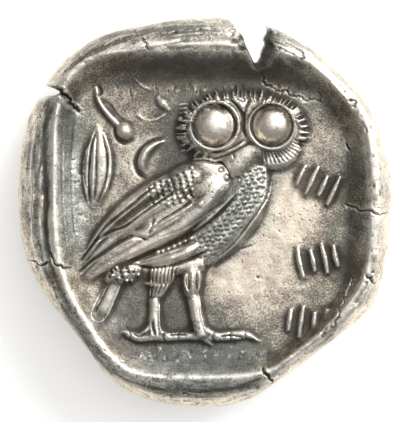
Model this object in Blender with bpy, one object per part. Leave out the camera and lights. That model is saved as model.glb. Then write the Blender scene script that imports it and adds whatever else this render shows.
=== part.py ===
# Struck silver tetradrachm lying with its owl side up. Metres, +Z up.
# The origin is on the surface that it lies on, under the middle of the flan.
import math

import bmesh
import bpy
from mathutils import Vector

# Flan
FLAN_SPAN = 0.0250
FIELD_Z = 0.00425
RIM_RISE = 0.00165
EDGE_Z = 0.00280
EDGE_ROUND = 0.00075
UNDER_LIFT = 0.00085
UNDER_DOME = 0.00100
LEAST_RIM = 0.00095
FLAN_STEPS = 84

# Outline radii every 15 degrees from +X, anticlockwise, as shares of the span.
OUTLINE = (
    0.4765, 0.485, 0.498, 0.496, 0.502, 0.504, 0.498, 0.500, 0.524, 0.528, 0.512, 0.490,
    0.476, 0.470, 0.456, 0.452, 0.489, 0.5005, 0.4985, 0.488, 0.461, 0.461, 0.487, 0.477,
)

# Sunk square around the owl: each wall's facing in degrees, then as shares of the span
# its floor's distance from the middle, and how far it runs back to the rim's crest.
SQUARE_WALLS = (
    (0.0, 0.368, 0.042),
    (45.0, 0.432, 0.044),
    (90.0, 0.340, 0.076),
    (135.0, 0.452, 0.040),
    (180.0, 0.370, 0.038),
    (213.3, 0.376, 0.034),
    (270.0, 0.382, 0.046),
    (313.6, 0.400, 0.022),
)
CORNER_SHARPNESS = 14

# Owl. Its places are in hundredths of its height, from the middle of its feet.
OWL_HEIGHT = 0.01565
OWL_FOOT_Y = -0.00804
OWL_RISE = 0.00125

# Olive leaf, berry and crescent behind the owl
LEAF_LENGTH = 0.00530
LEAF_WIDTH = 0.00185
LEAF_RISE = 0.00050
LEAF_X = -0.00685
LEAF_Y = 0.00300
LEAF_LEAN = math.radians(3)
BERRY_RADIUS = 0.00054
BERRY_X = -0.00500
BERRY_Y = 0.00505
STEM_WIDTH = 0.00032
CRESCENT_RADIUS = 0.00130
CRESCENT_WIDTH = 0.00034
CRESCENT_X = -0.00270
CRESCENT_Y = 0.00330

# Worn rows of strokes where the inscription runs down the field
STROKE_WIDTH = 0.00032
STROKE_LENGTH = 0.00210
STROKE_PITCH = 0.00076
STROKE_RISE = 0.00034
STROKES_IN_ROW = 4
# Middle of each row as shares of the span, and its lean in degrees
STROKE_ROWS = (
    (0.286, 0.074, -25),
    (0.288, -0.120, 12),
    (0.260, -0.281, -8),
)

# Helmeted head on the underside, in hundredths of its own height
HEAD_HEIGHT = 0.0172
HEAD_RISE = 0.00100

# Splits that opened in the rim when the flan was struck
NOTCH_X = 0.00310
NOTCH_FOOT_Y = 0.00990
NOTCH_WIDTH = 0.00170
# Bearing of each short split in degrees, then its foot and half width as shares of the span
SPLITS = (
    (141, 0.482, 0.028),
    (180, 0.450, 0.010),
    (195, 0.432, 0.018),
    (292, 0.448, 0.014),
)

SILVER_COLOUR = (0.62, 0.58, 0.52, 1.0)
SILVER_ROUGHNESS = 0.35

# Each relief piece is rooted at this height inside the flan, a hair deeper than the last.
OWL_ROOT_Z = 0.00340
HEAD_ROOT_Z = 0.00240
ROOT_STEP = 0.000002
RELIEF_SINK = 0.00030
BAR_SIDES = 8
CUT_REACH = 0.012


def silver():
    material = bpy.data.materials.new("silver")
    material.use_nodes = True
    shader = material.node_tree.nodes["Principled BSDF"]
    shader.inputs["Base Color"].default_value = SILVER_COLOUR
    shader.inputs["Roughness"].default_value = SILVER_ROUGHNESS
    shader.inputs["Metallic"].default_value = 1.0
    return material


def smooth_between(before, start, end, after, t):
    """A point on the smooth curve from start to end, t from 0 to 1."""
    return 0.5 * (
        2 * start
        + (end - before) * t
        + (2 * before - 5 * start + 4 * end - after) * t**2
        + (3 * start - before - 3 * end + after) * t**3
    )


def outline_radius(angle):
    place = (angle / math.tau) * len(OUTLINE)
    first = int(math.floor(place))
    near = [OUTLINE[(first + k) % len(OUTLINE)] for k in (-1, 0, 1, 2)]
    return FLAN_SPAN * smooth_between(*near, place - first)


def square_radius(angle, run_share):
    """How far the sunk square reaches at this angle, at a share of its walls' run."""
    total = 0.0
    for facing, distance, run in SQUARE_WALLS:
        towards = math.cos(angle - math.radians(facing))
        if towards > 0:
            total += (towards / (FLAN_SPAN * (distance + run * run_share))) ** CORNER_SHARPNESS
    return total ** (-1 / CORNER_SHARPNESS)


def underside_z(share):
    """Height of the domed underside at a share of the outline's radius."""
    return UNDER_LIFT + UNDER_DOME * share**2


def flan_profile(angle):
    """(radius, height) pairs from the underside round the edge and down to the field."""
    outer = outline_radius(angle)
    crest = min(square_radius(angle, 1.0), outer - LEAST_RIM)
    foot = min(square_radius(angle, 0.0), crest - LEAST_RIM / 2)
    crest_z = FIELD_Z + RIM_RISE
    shoulder = outer * 0.45 + crest * 0.55
    return [
        *[(outer * share, underside_z(share)) for share in (0.3, 0.55, 0.75, 0.9)],
        (outer - EDGE_ROUND * 0.30, EDGE_Z - EDGE_ROUND * 0.7),
        (outer, EDGE_Z),
        (outer - EDGE_ROUND * 0.30, EDGE_Z + (crest_z - EDGE_Z) * 0.45),
        (shoulder, crest_z - RIM_RISE * 0.20),
        (crest, crest_z),
        (crest * 0.75 + foot * 0.25, crest_z - RIM_RISE * 0.22),
        (crest * 0.3 + foot * 0.7, FIELD_Z + RIM_RISE * 0.22),
        (foot, FIELD_Z),
    ]


def object_from(mesh_builder, name, collection=None):
    bmesh.ops.recalc_face_normals(mesh_builder, faces=mesh_builder.faces)
    if mesh_builder.calc_volume(signed=True) < 0:
        bmesh.ops.reverse_faces(mesh_builder, faces=mesh_builder.faces)
    mesh = bpy.data.meshes.new(name)
    mesh_builder.to_mesh(mesh)
    mesh_builder.free()
    thing = bpy.data.objects.new(name, mesh)
    (collection or bpy.context.scene.collection).objects.link(thing)
    return thing


def flan_blank():
    """The flan as struck: rings of vertices joined from the underside to the field."""
    builder = bmesh.new()
    columns = []
    for step in range(FLAN_STEPS):
        angle = math.tau * step / FLAN_STEPS
        column = []
        for radius, height in flan_profile(angle):
            column.append(builder.verts.new((radius * math.cos(angle), radius * math.sin(angle), height)))
        columns.append(column)
    for step in range(FLAN_STEPS):
        here = columns[step]
        after = columns[(step + 1) % FLAN_STEPS]
        for level in range(len(here) - 1):
            builder.faces.new((here[level], after[level], after[level + 1], here[level + 1]))
    builder.faces.new([column[-1] for column in columns])
    middle = builder.verts.new((0, 0, underside_z(0)))
    for step in range(FLAN_STEPS):
        builder.faces.new((columns[(step + 1) % FLAN_STEPS][0], columns[step][0], middle))
    return object_from(builder, "coin")


class Face:
    """One side of the coin: turns places in its own units into metres."""

    def __init__(self, collection, unit, foot, floor, root, side):
        self.collection = collection
        self.unit = unit
        self.foot = Vector(foot)
        self.floor = floor
        self.root = root
        self.side = side

    def next_root(self):
        self.root -= self.side * ROOT_STEP
        return self.root

    def place(self, across, up):
        return Vector((self.side * (self.foot.x + across * self.unit), self.foot.y + up * self.unit))

    def level(self, spot, lift):
        return self.floor(spot) + self.side * lift

    def dome(self, name, across, up, half_across, half_up, rise, lift=0.0, turn=0.0, segments=14):
        """A low oval mound that is rooted in the face."""
        spot = self.place(across, up)
        builder = bmesh.new()
        bmesh.ops.create_uvsphere(builder, u_segments=segments, v_segments=max(6, segments // 2), radius=1.0)
        height = rise + RELIEF_SINK
        centre_z = self.level(spot, lift - RELIEF_SINK)
        root = self.next_root()
        for vertex in builder.verts:
            out = vertex.co.z * self.side
            x = vertex.co.x * half_across * self.unit
            y = vertex.co.y * half_up * self.unit
            turned_x = x * math.cos(turn) - y * math.sin(turn)
            turned_y = x * math.sin(turn) + y * math.cos(turn)
            vertex.co = (
                spot.x + self.side * turned_x,
                spot.y + turned_y,
                centre_z + vertex.co.z * height if out > 0.01 else root,
            )
        return object_from(builder, name, self.collection)

    def bar(self, name, spine, half_widths, rise, lift=0.0, steps=4, sides=BAR_SIDES):
        """A raised bar along a smooth spine, oval in section, as wide as half_widths say."""
        points = [self.place(*place) for place in spine]
        stations = []
        for index in range(len(points) - 1):
            before = points[max(index - 1, 0)]
            after = points[min(index + 2, len(points) - 1)]
            for step in range(steps):
                t = step / steps
                spot = smooth_between(before, points[index], points[index + 1], after, t)
                width = half_widths[index] * (1 - t) + half_widths[index + 1] * t
                stations.append((spot, width))
        stations.append((points[-1], half_widths[-1]))
        builder = bmesh.new()
        root = self.next_root()
        rings = []
        widest = max(half_widths)
        for index, (spot, width) in enumerate(stations):
            ahead = stations[min(index + 1, len(stations) - 1)][0]
            behind = stations[max(index - 1, 0)][0]
            along = (ahead - behind).normalized()
            across = Vector((-along.y, along.x))
            height = (rise + RELIEF_SINK) * (0.35 + 0.65 * width / widest)
            centre_z = self.level(spot, lift - RELIEF_SINK)
            ring = []
            for side in range(sides):
                turn = math.tau * (side + 0.5) / sides
                shift = spot + across * (width * self.unit * math.cos(turn))
                rise_z = centre_z + self.side * height * math.sin(turn)
                ring.append(builder.verts.new((shift.x, shift.y, rise_z if math.sin(turn) > 0 else root)))
            rings.append(ring)
        for here, after in zip(rings, rings[1:]):
            for side in range(sides):
                following = (side + 1) % sides
                builder.faces.new((here[side], here[following], after[following], after[side]))
        builder.faces.new(rings[0])
        builder.faces.new(list(reversed(rings[-1])))
        return object_from(builder, name, self.collection)

    def ring(self, name, across, up, radius, thick, rise, lift=0.0, segments=22):
        """A raised wire ring round an eye."""
        spot = self.place(across, up)
        centre_z = self.level(spot, lift)
        root = self.next_root()
        builder = bmesh.new()
        loops = []
        for step in range(segments):
            angle = math.tau * step / segments
            loop = []
            for side in range(6):
                turn = math.tau * (side + 0.5) / 6
                reach = (radius + thick * math.cos(turn)) * self.unit
                loop.append(builder.verts.new((
                    spot.x + reach * math.cos(angle),
                    spot.y + reach * math.sin(angle),
                    centre_z + self.side * rise * math.sin(turn) if math.sin(turn) > 0 else root,
                )))
            loops.append(loop)
        for step in range(segments):
            here = loops[step]
            after = loops[(step + 1) % segments]
            for side in range(6):
                following = (side + 1) % 6
                builder.faces.new((here[side], here[following], after[following], after[side]))
        return object_from(builder, name, self.collection)

    def plate(self, name, outline, rise, lift=0.0, inset=1.2):
        """A flat-topped raised shape with sloping sides, from an outline in this face's units."""
        builder = bmesh.new()
        base = [self.place(*place) for place in outline]
        base_z = self.level(sum(base, Vector((0, 0))) / len(base), lift)
        root = self.next_root()
        low = [builder.verts.new((spot.x, spot.y, root)) for spot in base]
        face = builder.faces.new(low)
        face.normal_update()
        if face.normal.z * self.side < 0:
            face.normal_flip()
        raised = bmesh.ops.extrude_face_region(builder, geom=[face])
        top = [item for item in raised["geom"] if isinstance(item, bmesh.types.BMVert)]
        bmesh.ops.translate(builder, verts=top, vec=(0, 0, base_z + self.side * rise * 0.55 - root))
        crown = [item for item in raised["geom"] if isinstance(item, bmesh.types.BMFace)]
        bmesh.ops.inset_region(
            builder, faces=crown, thickness=inset * self.unit, depth=rise * 0.45, use_even_offset=True
        )
        return object_from(builder, name, self.collection)


def owl_body(face):
    """Breast, wing, shoulder and the wing's long feathers."""
    face.bar(
        "breast",
        [(17, 78), (20, 70), (19, 58), (12, 44), (0, 33), (-12, 28.5), (-17, 26.5)],
        [7, 11.5, 13.5, 12, 8.5, 5, 1.5],
        OWL_RISE * 0.78,
        steps=3,
    )
    face.bar(
        "wing",
        [(3, 71), (-3, 63), (-11, 54), (-21, 47), (-34, 38), (-45, 29), (-52, 21)],
        [5.5, 11.5, 13.5, 12.5, 9.5, 5.5, 0.8],
        OWL_RISE * 0.92,
        steps=3,
    )
    face.dome("shoulder", 2.6, 61.5, 8.0, 6.6, OWL_RISE * 1.12)
    face.bar(
        "wing_edge",
        [(10.5, 57.2), (3.8, 52.1), (-5, 46.8), (-18, 40), (-33, 32), (-44, 25.5), (-51.5, 21)],
        [1.6, 3.8, 4.6, 4.4, 3.6, 2.4, 0.6],
        OWL_RISE * 0.98,
        steps=3,
    )
    feathers = (
        [(-17, 62), (-30, 53), (-40, 46), (-49, 35)],
        [(-11, 60), (-25, 50.5), (-37, 43), (-48.5, 32), (-51, 25.5)],
        [(-5, 57), (-18, 47.5), (-30, 41.5), (-43, 33), (-50.5, 24)],
    )
    for number, spine in enumerate(feathers):
        widths = [0.5] + [1.1] * (len(spine) - 2) + [0.3]
        face.bar(f"feather_{number}", spine, widths, OWL_RISE * 0.18, lift=OWL_RISE * 0.86, steps=3, sides=6)
    face.bar("flank_feather", [(-5, 36.5), (-13, 33), (-24, 30.5)], [2.6, 2.4, 0.4], OWL_RISE * 0.72)
    face.bar("tail_inner", [(-34, 23), (-38.5, 17), (-43, 9.5)], [2.2, 2.4, 1.6], OWL_RISE * 0.42)
    face.bar("tail_outer", [(-38.5, 22), (-41.5, 17), (-44.2, 12)], [0.9, 0.9, 0.6], OWL_RISE * 0.36, sides=6)


def owl_head(face):
    """Round facing head with two great eyes and a fringe of short feathers."""
    face.dome("head", 15.2, 84.5, 24.5, 15.2, OWL_RISE * 0.80, segments=22)
    face.dome("throat", 14.0, 73.5, 12.0, 7.5, OWL_RISE * 0.86)
    eyes = ((3.2, 86.5), (27.0, 86.5))
    for side, (across, up) in zip(("left", "right"), eyes):
        face.dome(f"eye_{side}", across, up, 8.0, 8.0, OWL_RISE * 1.12)
        face.ring(f"eye_ring_{side}", across, up, 9.0, 0.8, OWL_RISE * 0.22, lift=OWL_RISE * 0.72)
    face.bar("beak", [(15.6, 84), (15.0, 77), (12.0, 70)], [0.8, 2.4, 1.0], OWL_RISE * 0.98, sides=6)
    fringe = 34
    for number in range(fringe):
        angle = math.tau * (number + 0.5) / fringe
        if math.radians(232) < angle < math.radians(300):
            continue
        inner = (15.2 + 23.0 * math.cos(angle), 84.5 + 13.6 * math.sin(angle))
        outer = (15.2 + 25.6 * math.cos(angle), 84.5 + 16.4 * math.sin(angle))
        face.bar(f"fringe_{number:02d}", [inner, outer], [1.25, 0.7], OWL_RISE * 0.34, steps=1, sides=6)


def owl_dots(face):
    """Rows of small round feathers on the breast, and larger ones along its edge."""
    number = 0
    for row in range(8):
        for column in range(5):
            across = 24.0 - row * 3.1 - column * 2.6
            up = 61.0 - row * 4.2 + column * 2.4
            lift = OWL_RISE * (0.80 - 0.022 * row - 0.02 * abs(column - 1.5))
            face.dome(f"dot_{number:02d}", across, up, 0.75, 0.75, 0.00010, lift=lift, segments=6)
            number += 1
    for bead in range(5):
        face.dome(f"bead_{bead}", 24.4 + 0.9 * bead, 57.5 + 2.7 * bead, 1.1, 1.1, OWL_RISE * 0.6, segments=6)


def owl_legs(face):
    face.bar("thigh_left", [(-14, 32), (-17, 24), (-19.3, 16.5)], [6.6, 5.2, 2.4], OWL_RISE * 0.62)
    face.bar("thigh_right", [(-2, 31), (-3.5, 24), (-4.2, 17)], [3.8, 3.8, 2.2], OWL_RISE * 0.66)
    face.bar("shin_left", [(-19.3, 18), (-19.3, 10), (-19, 2)], [2.1, 2.0, 2.5], OWL_RISE * 0.44)
    face.bar("shin_right", [(-4.4, 18), (-2.6, 10), (-1, 2)], [2.2, 2.0, 2.3], OWL_RISE * 0.46)
    face.bar("foot_left", [(-34.5, 2), (-31, 2.6), (-26, 0.5), (-18, 0.4)], [0.5, 1.0, 1.6, 1.9], OWL_RISE * 0.32)
    face.bar("foot_right", [(-17, 0.5), (-8, 1.2), (0, 0.8), (3, -1.6)], [1.6, 1.9, 2.1, 0.5], OWL_RISE * 0.34)
    face.bar("toe_right", [(0, 0.8), (8, 1.0), (16, 2.0), (21.5, -0.8)], [1.8, 1.6, 1.5, 0.4], OWL_RISE * 0.32)


def field_marks(face):
    """Olive leaf and berry, crescent, and the worn strokes on the right, in metres."""
    tip = Vector((math.sin(LEAF_LEAN), math.cos(LEAF_LEAN))) * LEAF_LENGTH / 2
    middle = Vector((LEAF_X, LEAF_Y))
    spine = [middle - tip, middle - tip * 0.5, middle, middle + tip * 0.5, middle + tip]
    half = LEAF_WIDTH / 2
    face.bar("olive_leaf", spine, [half * 0.25, half * 0.86, half, half * 0.72, half * 0.1], LEAF_RISE)
    stem = [(BERRY_X, BERRY_Y), (BERRY_X - 0.0008, BERRY_Y + 0.0009), (BERRY_X - 0.0018, BERRY_Y + 0.0022)]
    face.bar("olive_stem", stem, [STEM_WIDTH / 2] * 3, LEAF_RISE * 0.7, sides=6)
    face.dome("olive_berry", BERRY_X, BERRY_Y, BERRY_RADIUS, BERRY_RADIUS, LEAF_RISE * 1.2, segments=12)
    arc = []
    for degrees in (100, 135, 170, 205, 240):
        angle = math.radians(degrees)
        arc.append((CRESCENT_X + CRESCENT_RADIUS * math.cos(angle), CRESCENT_Y + CRESCENT_RADIUS * math.sin(angle)))
    half = CRESCENT_WIDTH / 2
    face.bar("crescent", arc, [half * 0.3, half * 0.9, half, half * 0.9, half * 0.3], LEAF_RISE * 0.8, sides=6)
    for row, (across, up, bearing) in enumerate(STROKE_ROWS):
        lean = math.radians(bearing)
        row_along = Vector((math.cos(lean), math.sin(lean)))
        stroke_along = Vector((-math.sin(lean), math.cos(lean)))
        for stroke in range(STROKES_IN_ROW):
            shift = (stroke - (STROKES_IN_ROW - 1) / 2) * STROKE_PITCH
            middle = Vector((across, up)) * FLAN_SPAN + row_along * shift
            reach = stroke_along * STROKE_LENGTH * (0.5 if (stroke + row) % 2 else 0.36)
            ends = [middle - reach, middle + reach]
            face.bar(f"stroke_{row}_{stroke}", ends, [STROKE_WIDTH / 2] * 2, STROKE_RISE, steps=2, sides=6)


def helmeted_head(face):
    """A plain profile head in a crested helmet, facing right as seen from its own side."""
    profile = (
        (2, 22), (20, 22), (25.5, 15), (26.2, 9), (32.0, -1.0), (31.0, -3.4), (28.0, -4.4), (30.2, -7.2),
        (28.4, -9.4), (29.8, -12.4), (27.2, -14.6), (28.0, -20.0), (24.5, -24.5), (17.0, -24.0), (8, -18), (-8, -8),
    )
    face.plate("face", profile, HEAD_RISE * 0.85, inset=2.2)
    face.dome("cheek", 12, -5, 13, 15, HEAD_RISE * 1.22)
    face.dome("jaw", 20, -18, 8, 6, HEAD_RISE * 0.98, segments=10)
    face.dome("forehead", 17, 13, 8, 8, HEAD_RISE * 1.12, segments=10)
    face.dome("eye", 20.0, 5.5, 4.0, 1.9, HEAD_RISE * 1.22, segments=10)
    face.bar("nose", [(25.5, 8), (28.6, 1), (29.4, -1.6)], [1.0, 1.7, 2.0], HEAD_RISE * 1.02, steps=2, sides=6)
    face.bar("lips", [(28.6, -8.4), (24.5, -8.8)], [1.5, 0.6], HEAD_RISE * 1.04, steps=1, sides=6)
    face.bar("neck", [(1, -6), (2, -20), (1, -33), (3, -46)], [9, 13, 14, 17], HEAD_RISE * 0.86, steps=3)
    face.dome("bowl", -5, 14, 29, 25, HEAD_RISE * 1.16, segments=22)
    face.bar("visor", [(24, 22), (14, 19), (0, 9), (-10, -5)], [1.6, 2.2, 2.2, 1.6], HEAD_RISE * 1.14)
    face.bar("neck_guard", [(-10, -5), (-20, -11), (-30, -14)], [1.6, 2.4, 1.2], HEAD_RISE * 0.95, steps=3)
    crest = [(26, 33), (10, 43), (-12, 44), (-32, 33), (-42, 14), (-42, -8)]
    face.bar("crest", crest, [1.6, 4.0, 4.8, 5.0, 4.4, 1.8], HEAD_RISE * 0.92)
    for number, place in enumerate(((14, 29), (5, 32), (-5, 32.5))):
        face.dome(f"helmet_leaf_{number}", *place, 3.4, 1.8, HEAD_RISE * 1.08, turn=math.radians(65), segments=8)
    face.dome("ear_ring", 0.5, -12.5, 3.0, 3.0, HEAD_RISE * 1.1, segments=10)
    for lock in range(4):
        root = (-13 - 3.6 * lock, -11 - 0.8 * lock)
        foot = (-14 - 4.6 * lock, -29 + 3.6 * lock)
        face.bar(f"hair_lock_{lock}", [root, foot], [2.0, 1.3], HEAD_RISE * 0.8, steps=2, sides=6)


def cutter_from(name, outline, low, high, collection):
    """An upright block of the given outline that takes metal away."""
    builder = bmesh.new()
    base = builder.faces.new([builder.verts.new((x, y, low)) for x, y in outline])
    raised = bmesh.ops.extrude_face_region(builder, geom=[base])
    top = [item for item in raised["geom"] if isinstance(item, bmesh.types.BMVert)]
    bmesh.ops.translate(builder, verts=top, vec=(0, 0, high - low))
    return object_from(builder, name, collection)


def rim_splits(collection):
    """The open notch at the top of the rim and the short splits round it."""
    half = NOTCH_WIDTH / 2
    beyond = CUT_REACH * 1.2
    notch = (
        (NOTCH_X, NOTCH_FOOT_Y),
        (NOTCH_X + half * 0.30, NOTCH_FOOT_Y + half * 0.75),
        (NOTCH_X + half * 0.12, NOTCH_FOOT_Y + half * 1.0),
        (NOTCH_X + half * 0.65, NOTCH_FOOT_Y + half * 1.5),
        (NOTCH_X + half * 0.45, NOTCH_FOOT_Y + half * 1.9),
        (NOTCH_X + half * 0.8, beyond),
        (NOTCH_X - half * 2.2, beyond),
        (NOTCH_X - half * 1.3, NOTCH_FOOT_Y + half * 2.2),
        (NOTCH_X - half * 0.7, NOTCH_FOOT_Y + half * 1.2),
    )
    cutter_from("notch", notch, -CUT_REACH, CUT_REACH, collection)
    for number, (bearing, foot, half_width) in enumerate(SPLITS):
        angle = math.radians(bearing)
        along = Vector((math.cos(angle), math.sin(angle)))
        across = Vector((-along.y, along.x)) * half_width * FLAN_SPAN
        outer = along * (outline_radius(angle) + LEAST_RIM)
        outline = (along * foot * FLAN_SPAN, outer + across, outer - across)
        low = EDGE_Z * 0.5 if number else -CUT_REACH
        cutter_from(f"split_{number}", outline, low, CUT_REACH, collection)


def worn_flat(collection):
    """The resting plane: what sticks out below it has worn away."""
    square = ((-1, -1), (1, -1), (1, 1), (-1, 1))
    cutter_from("worn_flat", [(x * FLAN_SPAN, y * FLAN_SPAN) for x, y in square], -CUT_REACH, 0, collection)


def helper_collection(name):
    collection = bpy.data.collections.new(name)
    bpy.context.scene.collection.children.link(collection)
    return collection


def combine(coin, collection, operation):
    for helper in collection.objects:
        helper.hide_render = True
        helper.display_type = "WIRE"
    modifier = coin.modifiers.new(collection.name, "BOOLEAN")
    modifier.operation = operation
    modifier.operand_type = "COLLECTION"
    modifier.collection = collection
    modifier.solver = "EXACT"


def main():
    for thing in list(bpy.data.objects):
        bpy.data.objects.remove(thing)
    coin = flan_blank()
    coin.data.materials.append(silver())

    relief = helper_collection("relief")
    owl = Face(relief, OWL_HEIGHT / 100, (0, OWL_FOOT_Y), lambda spot: FIELD_Z, OWL_ROOT_Z, 1)
    owl_body(owl)
    owl_head(owl)
    owl_dots(owl)
    owl_legs(owl)
    field_marks(Face(relief, 1.0, (0, 0), lambda spot: FIELD_Z, owl.root, 1))
    helmeted_head(
        Face(relief, HEAD_HEIGHT / 100, (0, 0), lambda spot: underside_z(spot.length / (FLAN_SPAN / 2)), HEAD_ROOT_Z, -1)
    )
    combine(coin, relief, "UNION")

    cuts = helper_collection("cuts")
    rim_splits(cuts)
    worn_flat(cuts)
    combine(coin, cuts, "DIFFERENCE")


main()
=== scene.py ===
import math
import random

import bmesh
import bpy
import numpy as np
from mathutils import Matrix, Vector, kdtree, noise


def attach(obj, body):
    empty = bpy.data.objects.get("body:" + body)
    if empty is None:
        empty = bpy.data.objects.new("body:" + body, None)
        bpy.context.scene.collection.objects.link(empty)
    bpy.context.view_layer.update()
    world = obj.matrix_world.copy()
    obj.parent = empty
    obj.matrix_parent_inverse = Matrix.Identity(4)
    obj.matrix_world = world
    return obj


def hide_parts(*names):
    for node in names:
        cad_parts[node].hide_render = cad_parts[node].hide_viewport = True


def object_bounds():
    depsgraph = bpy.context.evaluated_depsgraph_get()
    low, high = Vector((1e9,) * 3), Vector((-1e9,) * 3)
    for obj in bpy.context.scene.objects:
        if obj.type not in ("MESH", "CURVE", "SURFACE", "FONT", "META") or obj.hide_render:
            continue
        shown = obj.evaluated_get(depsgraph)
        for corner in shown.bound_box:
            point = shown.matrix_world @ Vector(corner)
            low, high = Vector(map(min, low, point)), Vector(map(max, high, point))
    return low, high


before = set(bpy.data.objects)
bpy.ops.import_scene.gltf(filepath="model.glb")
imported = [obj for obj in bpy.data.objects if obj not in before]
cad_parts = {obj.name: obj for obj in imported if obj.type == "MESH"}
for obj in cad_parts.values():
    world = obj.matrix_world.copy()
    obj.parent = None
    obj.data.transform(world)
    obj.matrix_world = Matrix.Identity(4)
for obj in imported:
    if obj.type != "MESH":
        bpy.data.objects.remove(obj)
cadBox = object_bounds()
bpy.ops.object.select_all(action="DESELECT")
print("frame loaded")

random.seed(4)
grid = 0.06378   # one step of the drawing grid, in mm


def onDrawing(gx, gy):
    # drawing grid to mm on the coin
    return Vector(((gx - 205.5) * grid, (212 - gy) * grid))


def smoothPath(points, perSpan=6):
    # points on a smooth line through the given ones
    pts = [Vector((p[0], p[1])) for p in points]
    if len(pts) == 2:
        return [pts[0].lerp(pts[1], k / perSpan) for k in range(perSpan + 1)]
    out = []
    for i in range(len(pts) - 1):
        a = pts[max(i - 1, 0)]
        b = pts[i]
        c = pts[i + 1]
        d = pts[min(i + 2, len(pts) - 1)]
        for k in range(perSpan):
            t = k / perSpan
            out.append(0.5 * (2 * b + (c - a) * t + (2 * a - 5 * b + 4 * c - d) * t * t
                              + (3 * b - a - 3 * c + d) * t ** 3))
    out.append(pts[-1])
    return out


def activate(obj):
    bpy.ops.object.select_all(action="DESELECT")
    obj.select_set(True)
    bpy.context.view_layer.objects.active = obj


def applyAll(obj):
    activate(obj)
    for mod in list(obj.modifiers):
        bpy.ops.object.modifier_apply(modifier=mod.name)


# flan: rings pulled up one after another from a circle, as on a lathe that follows
# the uneven outline

flan = {
    "sides": 180,
    "fieldZ": 4.25,
    "crestZ": 5.86,
    "edgeZ": 2.8,
    "edgeTuck": 0.55,
    "edgeBulge": 0.75,
    "underMiddle": 0.85,
    "underRise": 1.0,
    "leastRim": 0.95,
    "cornerPower": 14,
    # radius every 15 degrees, anticlockwise from +X
    "outline": [11.91, 12.13, 12.45, 12.4, 12.55, 12.6, 12.45, 12.5, 13.1, 13.2, 12.8, 12.25,
                11.9, 11.75, 11.4, 11.3, 12.23, 12.51, 12.46, 12.2, 11.53, 11.53, 12.18, 11.93],
    # the sunk square's sides: facing, distance of the wall's foot, run back to the crest,
    # width and height of the worn slope that leads down to the field
    "walls": [(0, 9.12, 1.42, 0.35, 0.05), (45, 10.6, 1.3, 0.5, 0.1), (90, 8.5, 1.68, 0.25, 0.05),
              (135, 11.3, 1.0, 0.8, 0.15), (180, 8.45, 1.05, 1.2, 0.5), (213.3, 9.15, 1.0, 1.0, 0.25),
              (270, 9.45, 1.02, 0.35, 0.06), (313.6, 10.0, 0.55, 0.4, 0.08)],
}


def outlineRadius(angle):
    place = angle / math.tau * len(flan["outline"])
    i = math.floor(place)
    t = place - i
    a, b, c, d = [flan["outline"][(i + k) % len(flan["outline"])] for k in (-1, 0, 1, 2)]
    r = 0.5 * (2 * b + (c - a) * t + (2 * a - 5 * b + 4 * c - d) * t * t + (3 * b - a - 3 * c + d) * t ** 3)
    return r + 0.05 * noise.noise(Vector((math.cos(angle) * 3, math.sin(angle) * 3, 1.7)))


def squareRadius(angle, share, slopeShare=0.0):
    total = 0.0
    for facing, distance, run, slopeWidth, slopeHeight in flan["walls"]:
        towards = math.cos(angle - math.radians(facing))
        if towards > 0:
            total += (towards / (distance + run * share - slopeWidth * slopeShare)) ** flan["cornerPower"]
    return total ** (-1 / flan["cornerPower"])


def slopeTop(angle):
    total = 0.0
    weight = 0.0
    for facing, distance, run, width, height in flan["walls"]:
        w = max(math.cos(angle - math.radians(facing)), 0) ** 24
        total += w * height
        weight += w
    return total / max(weight, 1e-6)


def underZ(x, y):
    r = math.hypot(x, y) / 12.5
    return flan["underMiddle"] + flan["underRise"] * r * r


def fieldZ(x, y):
    return flan["fieldZ"]   # the field is level


def crestRadius(a):
    return min(squareRadius(a, 1.0), outlineRadius(a) - flan["leastRim"])


def crestHeight(a):
    return flan["crestZ"] - 0.08 + 0.1 * noise.noise(Vector((math.cos(a) * 2, math.sin(a) * 2, 5.1)))


def flanRings():
    # (radius, height) as functions of the bearing, from the middle below to the field
    rings = []
    for share in (0.12, 0.3, 0.5, 0.7, 0.85, 0.94):
        rings.append(lambda a, s=share: (outlineRadius(a) * s,
                                         flan["underMiddle"] + flan["underRise"] * s * s))
    for turn in (-60, -35, -10):   # round edge below
        c, s = math.cos(math.radians(turn)), math.sin(math.radians(turn))
        rings.append(lambda a, c=c, s=s: (outlineRadius(a) - flan["edgeTuck"] * (1 - c),
                                          flan["edgeZ"] - 0.3 + flan["edgeBulge"] * s))
    for u in (1.0, 0.97, 0.9, 0.8, 0.66, 0.5, 0.34, 0.18):   # outer slope, a quarter ellipse
        def outer(a, u=u):
            c = crestRadius(a)
            z = flan["edgeZ"] + (crestHeight(a) - flan["edgeZ"]) * max(1 - u ** 2.7, 0) ** 0.6
            return c + (outlineRadius(a) - c) * u, z
        rings.append(outer)
    for k in range(9):   # inner wall, an S between crest and foot
        def wall(a, t=k / 8):
            c = crestRadius(a)
            foot = min(squareRadius(a, 0.0), c - 0.4)
            low = flan["fieldZ"] + slopeTop(a)
            s = 0.55 * t ** 1.2 + 0.45 * (0.5 - 0.5 * math.cos(math.pi * t))
            return c + (foot - c) * t, crestHeight(a) + (low - crestHeight(a)) * s
        rings.append(wall)
    for k in (1, 2, 3):   # worn slope down to the field
        def slope(a, t=k / 3):
            foot = min(squareRadius(a, 0.0), crestRadius(a) - 0.4)
            inner = foot - (squareRadius(a, 0.0) - squareRadius(a, 0.0, 1.0))
            return foot + (inner - foot) * t, flan["fieldZ"] + slopeTop(a) * (1 - t) ** 1.6
        rings.append(slope)
    for share in (0.75, 0.4, 0.1):
        rings.append(lambda a, s=share: (squareRadius(a, 0.0, 1.0) * s, flan["fieldZ"]))
    return rings


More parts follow.
